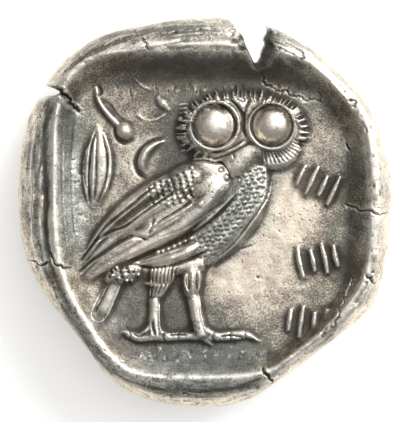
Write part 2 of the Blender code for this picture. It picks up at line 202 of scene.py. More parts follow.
def makeFlan():
    bpy.ops.object.select_all(action="DESELECT")
    bpy.ops.mesh.primitive_circle_add(vertices=flan["sides"], radius=1, fill_type="NOTHING")
    obj = bpy.context.object
    obj.name = "coinBody"
    bpy.ops.object.mode_set(mode="EDIT")
    bpy.ops.mesh.select_all(action="SELECT")
    for i, ring in enumerate(flanRings()):
        if i:
            bpy.ops.mesh.extrude_region_move(TRANSFORM_OT_translate={"value": (0, 0, 0.01)})
        bm = bmesh.from_edit_mesh(obj.data)
        for v in bm.verts:
            if v.select:
                a = math.atan2(v.co.y, v.co.x) % math.tau
                r, z = ring(a)
                v.co = (r * math.cos(a), r * math.sin(a), z)
        bmesh.update_edit_mesh(obj.data)
    bpy.ops.mesh.edge_face_add()   # middle of the field
    bpy.ops.mesh.select_all(action="DESELECT")
    bpy.ops.mesh.select_non_manifold()
    bpy.ops.mesh.edge_face_add()   # middle of the underside
    bpy.ops.mesh.select_all(action="SELECT")
    bpy.ops.mesh.normals_make_consistent(inside=False)
    bpy.ops.object.mode_set(mode="OBJECT")
    return obj


body = makeFlan()
print("flan done")


# relief: each form is a primitive or a bevelled curve laid half sunk in the metal

parts = []
owlFace = {"side": 1, "floor": fieldZ}
headFace = {"side": -1, "floor": underZ}


def mound(face, x, y, rx, ry, top, turn=0, rows=12):
    # low oval mound, top in mm above the floor
    s = face["side"]
    bpy.ops.object.select_all(action="DESELECT")
    bpy.ops.mesh.primitive_uv_sphere_add(segments=rows * 2, ring_count=rows, radius=1)
    obj = bpy.context.object
    obj.location = (s * x, y, face["floor"](x, y))
    obj.rotation_euler = (0, 0, math.radians(s * turn))
    obj.scale = (rx, ry, top)
    parts.append(obj)


def eyeRing(x, y, radius, thick, top):
    bpy.ops.object.select_all(action="DESELECT")
    bpy.ops.mesh.primitive_torus_add(major_radius=radius, minor_radius=thick,
                                     major_segments=48, minor_segments=10)
    obj = bpy.context.object
    obj.scale = (1, 1, owl["eyeRingTall"] / thick)
    obj.location = (x, y, flan["fieldZ"] + top - owl["eyeRingTall"])
    parts.append(obj)


def roll(face, path, halfWidths, top):
    # tapered roll along a path: a bevelled curve, flattened and half sunk
    s = face["side"]
    bpy.ops.object.select_all(action="DESELECT")
    bpy.ops.curve.primitive_bezier_curve_add(radius=1)
    obj = bpy.context.object
    curve = obj.data
    curve.dimensions = "3D"
    curve.bevel_depth = 1.0
    curve.bevel_resolution = 3
    curve.use_fill_caps = True
    curve.resolution_u = 8
    spline = curve.splines[0]
    spline.bezier_points.add(len(path) - 2)
    flatten = top / max(halfWidths)
    for point, (x, y), w in zip(spline.bezier_points, path, halfWidths):
        point.co = (s * x, y, (face["floor"](x, y) - flan["fieldZ"]) / flatten)
        point.radius = w
        point.handle_left_type = "AUTO"
        point.handle_right_type = "AUTO"
    obj.scale = (1, 1, flatten)
    obj.location = (0, 0, flan["fieldZ"])
    bpy.ops.object.convert(target="MESH")
    parts.append(bpy.context.object)


owl = {
    "headTop": 0.82,
    "eyeTop": 1.36,
    "eyeRingTop": 1.1,
    "eyeRingTall": 0.22,
    "shoulderTop": 1.1,
    "wingTop": 0.86,
    "featherTops": [0.84, 0.96, 1.04, 1.2],
    "breastTop": 0.94,
    "legTop": 0.68,
    "footTop": 0.52,
    "tailTop": 0.58,
}


def gridWidths(*steps):
    return [k * grid for k in steps]


def rolls(forms):
    # rolls on the owl side: path, half widths in grid steps, top
    for path, widths, top in forms:
        roll(owlFace, path, gridWidths(*widths), top)


def swell(x, y, rx, ry, top, turn=0, rows=12):
    # mound on the owl side, its half axes in grid steps
    mound(owlFace, x, y, rx * grid, ry * grid, top, turn, rows)


def owlHead():
    swell(2.39, 5.23, 61, 37, owl["headTop"], rows=20)
    swell(2.39, 5.74, 48, 26, owl["headTop"] + 0.12, rows=16)
    swell(0.54, 5.49, 21.5, 21.5, owl["eyeTop"], rows=20)
    swell(4.24, 5.49, 20.5, 20.5, owl["eyeTop"] + 0.04, rows=20)
    eyeRing(0.63, 5.49, 23.8 * grid, 1.7 * grid, owl["eyeRingTop"])
    eyeRing(4.24, 5.45, 22.6 * grid, 1.9 * grid, owl["eyeRingTop"] + 0.02)
    # band from the brow round the left eye to the beak, and the beak's other edge
    rolls([
        ([(1.63, 6.82), (2.1, 6.25), (2.2, 5.42), (1.95, 4.72), (1.31, 4.21),
         (0.41, 3.95)], (1.4, 2.6, 3.0, 4.0, 3.6, 1.4), owl["eyeRingTop"]),
        ([(2.77, 6.51), (2.65, 5.93), (2.65, 5.23), (2.9, 4.59),
         (3.48, 4.08)], (1.2, 2.0, 2.2, 2.2, 1.2), owl["eyeRingTop"] - 0.04),
        ([(2.9, 4.59), (2.2, 4.21), (1.37, 3.83), (0.41, 3.57)], (1.6, 2.8, 2.6, 1.0), 0.98),
    ])
    # throat, cheek and the ruff under the right eye
    swell(2.33, 3.44, 29, 16, 0.92, turn=48, rows=18)
    swell(3.09, 3.95, 20, 12, 0.86, turn=15)
    roll(owlFace, [(3.22, 3.64), (3.99, 3.25), (5.01, 3.38), (5.96, 4.21)], gridWidths(4, 9, 10, 6), 0.56)


def headTufts():
    # short feathers that stand out all round the head
    middle = onDrawing(243, 131)
    for i in range(50):
        a = math.radians(-14 + i * 4.4 + random.uniform(-1.6, 1.6))
        out = Vector((math.cos(a), math.sin(a)))
        near = random.uniform(0.93, 0.97)
        far = random.uniform(3.6, 7.6)
        inner = middle + Vector((60 * near * out.x, 35.5 * near * out.y)) * grid
        lean = Vector((-out.y, out.x)) * (1.2 if a < 1.6 else -1.2) * grid
        outer = middle + Vector(((60 + far) * out.x, (35.5 + far) * out.y)) * grid + lean
        roll(owlFace, [inner, outer], gridWidths(random.uniform(0.9, 1.4), 0.6), 0.52)
    for a, b in (((-0.99, 4.53), (-1.44, 4.21)), ((-0.8, 4.15), (-1.18, 3.83)),
                 ((-0.41, 3.83), (-0.73, 3.51)), ((0.03, 3.64), (-0.29, 3.32))):
        roll(owlFace, [a, b], gridWidths(2.2, 1.2), 0.64)


def owlWing():
    # the wing's own swell, the long feathers over it, then coverts and shoulder
    roll(owlFace, [(-0.1, 1.79), (-1.5, 0.64), (-3.28, -0.7), (-5.2, -2.1), (-6.98, -3.57)],
         gridWidths(18, 24, 22, 16, 6), owl["wingTop"])
    tops = owl["featherTops"]
    rolls([
        ([(-0.99, 2.42), (-2.39, 1.85), (-3.67, 1.15), (-4.94, 0.26), (-6.22, -1.02), (-7.18, -2.3),
         (-7.88, -3.57)], (5, 10, 9.5, 9, 7.5, 5, 1.4), tops[0]),
        ([(-0.61, 1.79), (-1.63, 1.15), (-2.9, 0.38), (-4.31, -0.51), (-5.71, -1.53), (-6.86, -2.68),
         (-7.94, -4.08)], (6, 10, 10, 9.5, 8, 6, 1.6), tops[1]),
        ([(0.03, 1.02), (-0.86, 0.38), (-2.14, -0.45), (-3.54, -1.21), (-5.07, -2.17), (-6.54, -3.13),
         (-8.0, -4.53)], (5, 9, 10, 9.5, 8, 6, 1.6), tops[2]),
        ([(0.67, 1.66), (0.1, 0.77), (-1.12, -0.45), (-2.9, -1.59), (-4.69, -2.49), (-6.22, -3.38),
         (-8.07, -4.78)], (13, 13, 10.5, 9, 8, 6.5, 1.2), tops[3]),
    ])
    swell(-1.37, 1.85, 31, 17, 1.02, turn=30)
    swell(0.16, 1.53, 25, 18, owl["shoulderTop"], turn=20, rows=18)
    swell(0.41, 2.49, 25, 14, 0.84, turn=-25)


def owlBreast():
    rolls([
        ([(3.09, 3.06), (2.84, 1.79), (2.2, 0.38), (1.05, -1.08), (-0.16, -2.36),
         (-1.12, -3.19)], (15, 21, 26, 26, 20, 11), owl["breastTop"]),
        ([(0.03, -1.66), (-1.05, -2.42), (-2.2, -2.87), (-3.35, -3.13),
         (-4.31, -3.19)], (4, 7.5, 7.5, 5, 1), 1.0),
        ([(-0.1, -3.19), (-1.12, -3.38), (-2.39, -3.51)], (9, 10, 9), 0.74),
    ])


def owlLegs():
    rolls([
        ([(-2.52, -3.06), (-2.65, -3.95), (-2.84, -4.78), (-3.16, -5.55)], (13, 14, 10, 5), 0.82),
        ([(-3.03, -4.59), (-3.86, -4.53)], (4, 1), 0.66),
        ([(-0.67, -3.19), (-0.8, -4.08), (-0.86, -4.85), (-0.8, -5.55)], (9, 11, 10, 6), 0.88),
        ([(-3.22, -5.49), (-3.22, -6.38), (-3.22, -7.14), (-3.22, -7.91)], (6, 6.4, 7.2, 8.6), owl["legTop"]),
        ([(-0.73, -5.36), (-0.61, -6.19), (-0.41, -7.02),
         (-0.22, -7.91)], (7.2, 7.2, 7.2, 7.8), owl["legTop"] + 0.04),
        ([(-5.58, -7.84), (-5.2, -7.62), (-4.75, -7.81), (-4.11, -7.97), (-3.35, -7.91), (-2.39, -7.94),
         (-1.18, -7.88), (-0.22, -7.91)], (1.2, 2.6, 4.2, 5.0, 5.0, 4.8, 4.8, 4.6), owl["footTop"]),
        ([(-0.35, -7.78), (0.1, -8.16), (0.48, -8.48)], (3.6, 2.8, 1), owl["footTop"]),
        ([(-3.54, -7.27), (-3.79, -7.59), (-4.24, -7.84)], (3.4, 3.8, 2.6), 0.56),
        ([(-3.03, -7.4), (-2.65, -7.72), (-2.14, -7.88)], (3.2, 3.8, 3.4), 0.55),
        ([(0.03, -7.4), (0.41, -7.72), (1.05, -7.91)], (3.2, 3.8, 3.4), 0.56),
        ([(-0.16, -7.91), (0.92, -7.91), (1.88, -7.84), (2.65, -7.81),
         (3.48, -8.23)], (4.4, 4.8, 5.0, 4.2, 1.2), owl["footTop"]),
    ])


def owlTail():
    swell(-5.2, -3.89, 21, 11, 0.54, turn=22)
    roll(owlFace, [(-5.58, -4.21), (-6.03, -5.29), (-6.47, -6.19), (-6.73, -6.76)],
         gridWidths(7, 8.6, 9.4, 7), owl["tailTop"] - 0.12)


sprig = {"leafTop": 0.5, "stemTop": 0.36, "berryTop": 0.66}


def oliveSprig():
    rolls([
        ([(-6.86, 5.61), (-6.79, 4.72), (-6.79, 3.7), (-6.86, 2.55), (-6.98, 1.4),
         (-7.18, 0.26)], (1.5, 9, 14.5, 15.5, 12.5, 3), sprig["leafTop"]),
        ([(-6.92, 7.91), (-6.73, 7.08), (-6.28, 6.38),
         (-5.52, 5.55)], (2.0, 2.6, 2.8, 3.0), sprig["stemTop"]),
    ])
    swell(-5.13, 5.17, 8, 9.5, sprig["berryTop"], turn=35)
    rolls([
        # what is left of a second leaf
        ([(-3.09, 7.33), (-2.71, 6.95), (-2.26, 6.44)], (1.5, 5, 1.5), 0.32),
        # crescent
        ([(-2.58, 4.53), (-3.16, 4.34), (-3.67, 3.95), (-3.95, 3.44), (-4.02, 2.93),
         (-3.79, 2.42)], (0.8, 2.8, 4.4, 4.8, 4.0, 1), 0.48),
    ])


# rows of shallow strokes down the right of the field
strokeRows = {
    "places": [(7.15, 1.85, -25), (7.2, -3.0, 12), (6.5, -7.02, -8)],
    "perRow": 4,
    "pitch": 0.76,
    "length": 2.1,
    "halfWidth": 0.23,
    "top": 0.38,
}


def shallowStrokes():
    s = strokeRows
    for row, (cx, cy, lean) in enumerate(s["places"]):
        along = Vector((math.cos(math.radians(lean)), math.sin(math.radians(lean))))
        up = Vector((-along.y, along.x))
        for k in range(s["perRow"]):
            mid = Vector((cx, cy)) + along * (k - (s["perRow"] - 1) / 2) * s["pitch"]
            reach = up * s["length"] * (0.5 if (k + row) % 2 else 0.36)
            jog = along * random.uniform(-0.06, 0.06)
            roll(owlFace, [mid - reach, mid + jog, mid + reach],
                 [s["halfWidth"] * f for f in (0.8, 1.0, 0.75)], s["top"])


owlHead()
headTufts()
owlWing()
owlBreast()
owlLegs()
owlTail()
oliveSprig()
shallowStrokes()
print("owl side laid out,", len(parts), "forms")


# underside: a plain profile head in a crested helmet, worn flat where it lies
obverse = {"height": 17.2, "rise": 1.0}


def plateau(face, outline, top):
    # flat-topped form with a drawn outline, its sides going down into the metal
    s = face["side"]
    bpy.ops.object.select_all(action="DESELECT")
    bpy.ops.mesh.primitive_circle_add(vertices=len(outline), radius=1, fill_type="NGON")
    obj = bpy.context.object
    for v, (x, y) in zip(obj.data.vertices, outline):
        v.co = (s * x, y, face["floor"](x, y) + s * top)
    bpy.ops.object.mode_set(mode="EDIT")
    bpy.ops.mesh.select_all(action="SELECT")
    bpy.ops.mesh.quads_convert_to_tris()
    bpy.ops.mesh.extrude_region_move(TRANSFORM_OT_translate={"value": (0, 0, -s * (top + 0.5))})
    bpy.ops.mesh.select_all(action="SELECT")
    bpy.ops.mesh.normals_make_consistent(inside=False)
    bpy.ops.object.mode_set(mode="OBJECT")
    parts.append(obj)


def helmetHead():
    unit = obverse["height"] / 100

    def form(x, y, rx, ry, top, turn=0):
        mound(headFace, x * unit, y * unit, rx * unit, ry * unit, top * obverse["rise"], turn=turn, rows=14)

    def ridge(path, widths, top):
        roll(headFace, [(x * unit, y * unit) for x, y in path], [w * unit for w in widths],
             top * obverse["rise"])

    # face in profile and neck, as one low plate with soft swells over it
    profile = smoothPath([
        (24, 20), (25.5, 13), (27.5, 8), (33, 0.5), (30, -3), (31.4, -6), (29.6, -8.4), (31, -11),
        (28.9, -14), (30, -19), (26.5, -23.5), (19, -25), (13, -29), (11, -37), (16, -48), (0, -51),
        (-15, -47), (-11, -36), (-12, -22), (-14, -6), (-6, 14), (12, 22)], 4)
    plateau(headFace, [(p.x * unit, p.y * unit) for p in profile], 0.56 * obverse["rise"])
    form(12, -4, 16, 19, 1.02)
    form(19, -17, 10, 8, 0.84, turn=10)
    form(24.5, -18.5, 5.6, 5.0, 0.8)
    ridge([(2, -12), (7, -19), (15, -23), (23, -22)], (6, 6, 5.4, 4), 0.76)
    ridge([(24.0, 13), (26.4, 7), (29.6, 1.2)], (2.8, 3.2, 3.2), 0.72)
    form(28.0, -1.4, 2.6, 2.0, 0.8)
    form(21, 14, 7, 6, 0.92)
    form(20, 6, 4.8, 2.6, 1.16)
    ridge([(15, 6.4), (18, 9.0), (22, 9.2), (25.2, 6.6)], (0.6, 1.1, 1.1, 0.6), 1.2)
    ridge([(15.6, 5.2), (20, 3.0), (24.4, 4.8)], (0.5, 0.9, 0.5), 1.12)
    ridge([(13, 10.5), (19, 13.6), (25.6, 12.4)], (0.8, 1.6, 1.0), 1.12)
    ridge([(31.2, -6.0), (28, -6.4), (24.6, -7.8)], (1.5, 1.7, 0.6), 0.86)
    ridge([(30.8, -11.0), (27.6, -10.8), (24.8, -9.2)], (1.6, 1.8, 0.6), 0.86)
    ridge([(1, -20), (0, -33), (1, -46)], (12, 11, 13), 0.8)
    # ear, ear ring, hair at the temple and behind the neck
    form(-0.5, -3.5, 3.2, 5.6, 1.22, turn=12)
    form(0.5, -11.5, 2.8, 2.8, 1.14)
    for k in range(4):
        ridge([(6 + 3.6 * k, 12.6 + 1.4 * k), (6.4 + 3.4 * k, 8.2 + 1.6 * k), (4.0 + 3.4 * k, 5.4 + 1.4 * k)],
              (1.2, 1.5, 0.7), 1.22)
    for k in range(6):
        ridge([(-10 - 2.6 * k, -12 - 0.6 * k), (-13 - 3.4 * k, -21 + 0.4 * k),
               (-12 - 4.4 * k, -31 + 2.6 * k)],
              (1.9, 1.7, 1.0), 0.82)
    # helmet bowl, its rim, neck guard, three leaves and the crest
    form(-5, 15, 29, 24.5, 1.18)
    ridge([(26, 21.5), (15, 18.5), (2, 9), (-8, -6)], (1.6, 2.2, 2.2, 1.6), 1.26)
    ridge([(-8, -6), (-19, -10.5), (-31, -12)], (1.8, 2.6, 1.2), 1.0)
    for x, y in ((15, 28), (6, 31.5), (-4, 32.5)):
        form(x, y, 3.6, 1.8, 1.2, 65)
    ridge([(-12, 28), (-20, 24), (-23, 15), (-18, 9), (-12, 12), (-14, 17)],
          (0.8, 1.2, 1.3, 1.2, 1.0, 0.7), 1.2)
    ridge([(27, 32), (12, 42.5), (-10, 44.5), (-31, 34), (-42, 14), (-43, -10)],
          (1.6, 4.0, 4.8, 5.0, 4.4, 1.6), 0.94)


helmetHead()
print("underside laid out")


def cutBlock(low, high, zLow, zHigh):
    # jagged wedge that opens a split in the rim: a drawn outline, pulled up and spread
    bpy.ops.object.select_all(action="DESELECT")
    bpy.ops.mesh.primitive_circle_add(vertices=len(low), radius=1, fill_type="NGON")
    obj = bpy.context.object
    for v, p in zip(obj.data.vertices, low):
        v.co = (p[0], p[1], zLow)
    bpy.ops.object.mode_set(mode="EDIT")
    bpy.ops.mesh.select_all(action="SELECT")
    bpy.ops.mesh.extrude_region_move(TRANSFORM_OT_translate={"value": (0, 0, 0.01)})
    bm = bmesh.from_edit_mesh(obj.data)
    for v in [v for v in bm.verts if v.select]:
        i = min(range(len(low)), key=lambda k: (Vector(low[k]) - v.co.xy).length)
        v.co = (high[i][0], high[i][1], zHigh)
    bmesh.update_edit_mesh(obj.data)
    bpy.ops.mesh.select_all(action="SELECT")
    bpy.ops.mesh.quads_convert_to_tris()
    bpy.ops.mesh.normals_make_consistent(inside=False)
    bpy.ops.object.mode_set(mode="OBJECT")
    return obj


def splitRim(target):
    cuts = [
        cutBlock([(0.54, 13.27), (1.12, 12.53), (1.69, 12.21), (2.14, 11.8), (2.49, 11.29), (2.81, 10.65),
                  (3.13, 10.01), (3.22, 10.27), (3.22, 10.65), (3.48, 11.1), (3.28, 11.42), (3.6, 11.74),
                  (3.48, 12.37), (3.73, 13.27)],
                 [(0.22, 13.27), (0.86, 12.66), (1.5, 12.31), (1.91, 11.83), (2.23, 11.23), (2.61, 10.27),
                  (3.28, 8.67), (3.79, 9.06), (4.11, 9.69), (4.43, 10.46), (4.18, 10.84), (4.56, 11.29),
                  (4.31, 11.8), (4.69, 13.27)],
                 -1, 6.5),
        cutBlock([(-10.94, 8.16), (-10.17, 7.97), (-9.47, 7.78), (-10.05, 7.59), (-10.94, 7.33)],
                 [(-10.68, 8.42), (-9.66, 8.1), (-8.64, 7.4), (-9.28, 7.33), (-10.56, 7.14)],
                 -1, 6.5),
    ]
    for cut in cuts:
        mod = target.modifiers.new("split", "BOOLEAN")
        mod.operation = "DIFFERENCE"
        mod.solver = "EXACT"
        mod.object = cut
    applyAll(target)
    for cut in cuts:
        bpy.data.objects.remove(cut)


splitRim(body)
print("rim split")

# everything becomes one skin
bpy.ops.object.select_all(action="DESELECT")
for p in parts:
    p.select_set(True)
body.select_set(True)
bpy.context.view_layer.objects.active = body
bpy.ops.object.join()
body = bpy.context.object

skin = {
    "voxel": 0.072,
    "relax": 3,
    "topFrom": 3.0,   # fine work of the owl side stays above this height
    "underTo": 2.6,   # and that of the underside below this one
    "finalTriangles": 188000,
}
mod = body.modifiers.new("oneSkin", "REMESH")
mod.mode = "VOXEL"
mod.voxel_size = skin["voxel"]
mod = body.modifiers.new("relax", "SMOOTH")
mod.factor = 0.5
mod.iterations = skin["relax"]
applyAll(body)
print("one skin,", len(body.data.vertices), "points")


def readPoints(mesh):
    values = np.empty(len(mesh.vertices) * 3)
    mesh.vertices.foreach_get("co", values)
    return values.reshape(-1, 3)


def readNormals(mesh):
    values = np.empty(len(mesh.vertices) * 3)
    mesh.vertices.foreach_get("normal", values)
    return values.reshape(-1, 3)


# fine work: strokes drawn into the skin like a small punch or graver would leave
co = readPoints(body.data)
normals = readNormals(body.data)
upSide = (normals[:, 2] > 0.05) & (co[:, 2] > skin["topFrom"])
downSide = (normals[:, 2] < -0.05) & (co[:, 2] < skin["underTo"])


def draw(path, halfWidth, depth, side=1, taper=True):
    # depth above zero raises, below zero cuts
    pts = np.array([(p.x, p.y) for p in smoothPath(path)])
    reach = halfWidth * 2.6
    area = upSide if side > 0 else downSide
    box = (area & (co[:, 0] > pts[:, 0].min() - reach) & (co[:, 0] < pts[:, 0].max() + reach)
           & (co[:, 1] > pts[:, 1].min() - reach) & (co[:, 1] < pts[:, 1].max() + reach))
    idx = np.nonzero(box)[0]
    if not len(idx):
        return
    p = co[idx, :2]
    best = np.full(len(idx), 1e9)
    where = np.zeros(len(idx))
    spans = len(pts) - 1
    for i in range(spans):
        a, b = pts[i], pts[i + 1]
        ab = b - a
        t = np.clip(((p - a) @ ab) / max(ab @ ab, 1e-12), 0, 1)
        d = np.linalg.norm(p - (a + t[:, None] * ab), axis=1)
        closer = d < best
        best[closer] = d[closer]
        where[closer] = (i + t[closer]) / spans
    fade = np.ones(len(idx))
    if taper:
        fade = np.clip(np.minimum(where, 1 - where) * 5 + 0.25, 0, 1)
    co[idx, 2] += side * depth * fade * np.exp(-(best / halfWidth) ** 2)


def strokes(lines):
    # drawn path, half width in grid steps, depth
    for path, width, depth in lines:
        draw(path, width * grid, depth)


def dot(x, y, radius, height, side=1):
    area = upSide if side > 0 else downSide
    box = area & (np.abs(co[:, 0] - x) < radius * 2.4) & (np.abs(co[:, 1] - y) < radius * 2.4)
    idx = np.nonzero(box)[0]
    d = np.hypot(co[idx, 0] - x, co[idx, 1] - y)
    co[idx, 2] += side * height * np.exp(-(d / radius) ** 2.6)


def loop(x, y, radius, halfWidth, depth):
    path = [(x + radius * math.cos(a), y + radius * math.sin(a)) for a in np.linspace(0, math.tau, 25)]
    draw(path, halfWidth, depth, taper=False)


def fineHead():
    loop(0.54, 5.49, 21.6 * grid, 1.1 * grid, -0.2)
    loop(4.24, 5.49, 20.4 * grid, 1.1 * grid, -0.2)
    strokes([
        ([(1.56, 7.21), (2.07, 6.7), (2.42, 6.06), (2.42, 5.36), (2.58, 4.85)], 1.4, -0.3),
        ([(2.84, 7.08), (2.58, 6.57), (2.46, 6.0)], 1.2, -0.16),
        ([(2.39, 4.53), (1.56, 4.02), (0.41, 3.76)], 1.0, -0.16),
        ([(2.97, 4.46), (2.14, 3.99), (1.44, 3.64), (0.41, 3.32)], 1.0, -0.14),
        ([(1.75, 3.7), (1.88, 3.41)], 0.9, -0.14),
        ([(1.5, 3.13), (1.63, 3.25)], 0.8, -0.08),
    ])
    # ruff under the right eye
    for k in range(13):
        a = math.radians(-112 + 6.6 * k)
        out = Vector((math.cos(a), math.sin(a))) * grid
        lean = Vector((out.y, -out.x))
        spot = onDrawing(272, 126)
        draw([spot + out * 25, spot + out * 31 - lean * 2, spot + out * 38 - lean * 5], 0.9 * grid, -0.09)
    # small feathers over the brow, a second row inside the first
    middle = onDrawing(243, 131)
    for k in range(34):
        a = math.radians(18 + k * 4.4 + random.uniform(-1.5, 1.5))
        near, far = random.uniform(0.8, 0.88), random.uniform(0.92, 0.98)
        draw([middle + Vector((60 * near * math.cos(a), 35.5 * near * math.sin(a))) * grid,
              middle + Vector((60 * far * math.cos(a + 0.05), 35.5 * far * math.sin(a + 0.05))) * grid],
             0.8 * grid, 0.12)
    # crossed lines between the eyes
    for k in range(6):
        strokes([
            ([onDrawing(233 + 1.6 * k, 98 + 2.0 * k), onDrawing(238 + 1.4 * k, 96 + 2.0 * k)], 0.6, 0.07),
            ([onDrawing(234 + 1.2 * k, 103 + 1.4 * k), onDrawing(236 + 1.4 * k, 97 + 1.6 * k)], 0.6, 0.05),
        ])
    # left fringe
    for k in range(12):
        gy = 104 + 4.2 * k
        draw([onDrawing(188 - 0.2 * k, gy), onDrawing(179 + 0.2 * k, gy + 1.0)], 0.8 * grid, 0.13)


def fineNeck():
    strokes([
        ([(-0.99, 3.25), (-0.03, 3.28), (0.61, 3.13), (1.05, 3.13), (1.44, 2.68), (1.69, 2.1)], 1.0, -0.2),
        ([(0.03, 3.44), (0.67, 3.32), (1.18, 3.22), (1.63, 2.74)], 0.9, 0.05),
    ])
    for spot in ((0.99, 2.68), (1.37, 2.17)):
        loop(*spot, 2.8 * grid, 0.8 * grid, -0.11)
        dot(*spot, 1.3 * grid, 0.08)


def fineWing():
    # bright edges of the long feathers, each with a cut line beside it
    for path in ([(-3.03, 1.53), (-3.79, 0.96), (-4.43, 0.38), (-5.33, -0.32), (-6.22, -1.08),
                  (-7.05, -2.23), (-7.75, -3.19)],
                 [(-1.88, 1.08), (-2.58, 0.64), (-3.54, 0.0), (-4.31, -0.57), (-4.94, -1.02), (-5.96, -1.4),
                  (-6.73, -1.91), (-7.49, -2.87)],
                 [(-0.8, 0.51), (-1.63, -0.06), (-2.52, -0.57), (-3.09, -0.96)],
                 [(-4.5, -1.66), (-5.2, -1.98), (-6.09, -2.55), (-7.05, -3.19), (-7.88, -3.95)]):
        draw(path, 1.0 * grid, 0.12)
        draw([Vector(p) + Vector((-0.13, 0.12)) for p in path], 1.1 * grid, -0.22)
    strokes([
        ([(1.31, 0.77), (0.1, -0.06), (-1.24, -0.96), (-2.9, -1.66)], 0.8, -0.07),
        ([(-3.22, -0.45), (-3.38, -0.96), (-3.57, -1.4)], 1.0, -0.15),
        ([(-4.82, -1.53), (-4.24, -1.56), (-3.73, -1.75)], 1.4, -0.17),
        # between the wing and the breast
        ([(1.95, 1.02), (0.8, -0.19), (-0.48, -1.15), (-1.75, -1.85), (-3.03, -2.36), (-4.31, -2.93),
         (-5.96, -3.83)], 1.5, -0.34),
        ([(0.16, -2.42), (-0.99, -3.0), (-2.14, -3.38), (-3.54, -3.51), (-4.69, -3.25)], 1.2, -0.26),
    ])
    # coverts: slanting rows of small pips
    for row in range(8):
        for col in range(8):
            gx = 150 + 5.6 * col + 1.4 * row
            gy = 183 - 3.4 * col + 4.6 * row - (col % 2) * 1.2
            inShoulder = gx >= 194 and 180 <= gy <= 198
            if 151 < gx < 204 and 168 - (gx - 190) * 0.45 < gy < 204 and not inShoulder:
                x, y = onDrawing(gx + random.uniform(-0.8, 0.8), gy + random.uniform(-0.8, 0.8))
                dot(x, y, 1.5 * grid, 0.1)
                dot(x - 0.13, y - 0.06, 1.2 * grid, -0.11)
    for gx, gy, size in ((187, 192, 2.4), (190, 197, 2.8), (195, 201, 3.0), (201, 204, 2.4), (184, 187, 2.0)):
        dot(*onDrawing(gx, gy), size * grid, 0.13)
        dot(*onDrawing(gx, gy), 0.9 * grid, -0.1)
    for gx, gy in ((158, 251), (163, 250), (168.5, 248), (174, 245.5), (179.5, 243), (185, 240.5),
                   (190, 237.5)):
        dot(*onDrawing(gx, gy), 2.2 * grid, 0.26)
    strokes([
        ([(-4.43, -3.13), (-3.54, -2.87), (-2.52, -2.58), (-1.37, -2.23)], 0.9, 0.13),
        ([(-4.18, -3.22), (-3.41, -3.03), (-2.39, -2.74), (-1.37, -2.42)], 0.9, -0.14),
    ])


def fineBreast():
    # small scales in slanting rows: each a bent nick under a raised point
    for row in range(24):
        for col in range(14):
            gx = 268 - col * 6.4 - (row % 2) * 3.2 - row * 1.2
            gy = 168 + row * 4.8 + col * 0.9
            left = 233 - max(gy - 196, 0) * 1.12
            right = 269 - max(gy - 192, 0) * 0.84
            if gx < 196 and gy > 244:
                continue
            if left + 5 < gx < right - 2 and gy < 258:
                x, y = onDrawing(gx + random.uniform(-1.0, 1.0), gy + random.uniform(-0.9, 0.9))
                draw([(x - 0.13, y + 0.03), (x, y - 0.07), (x + 0.13, y + 0.03)],
                     0.9 * grid, -random.uniform(0.05, 0.09))
                dot(x, y + 0.08, 1.3 * grid, random.uniform(0.01, 0.05))
    # larger beads at the top of its front edge
    for gx, gy in ((259, 166), (265, 170), (260, 175), (267, 178), (260, 184), (267, 187), (261, 193),
                   (267, 195), (254, 170), (255, 179), (263, 200)):
        dot(*onDrawing(gx, gy), 2.0 * grid, 0.11)
        dot(*onDrawing(gx, gy), 0.9 * grid, -0.1)
    strokes([
        ([(4.24, 2.17), (3.99, 0.77), (2.97, -0.7), (2.01, -1.98), (0.8, -3.06), (0.22, -3.83)], 0.9, 0.06),
        ([(4.11, 2.04), (3.86, 0.83), (2.84, -0.64), (1.88, -1.91), (0.67, -3.0)], 0.8, -0.12),
    ])


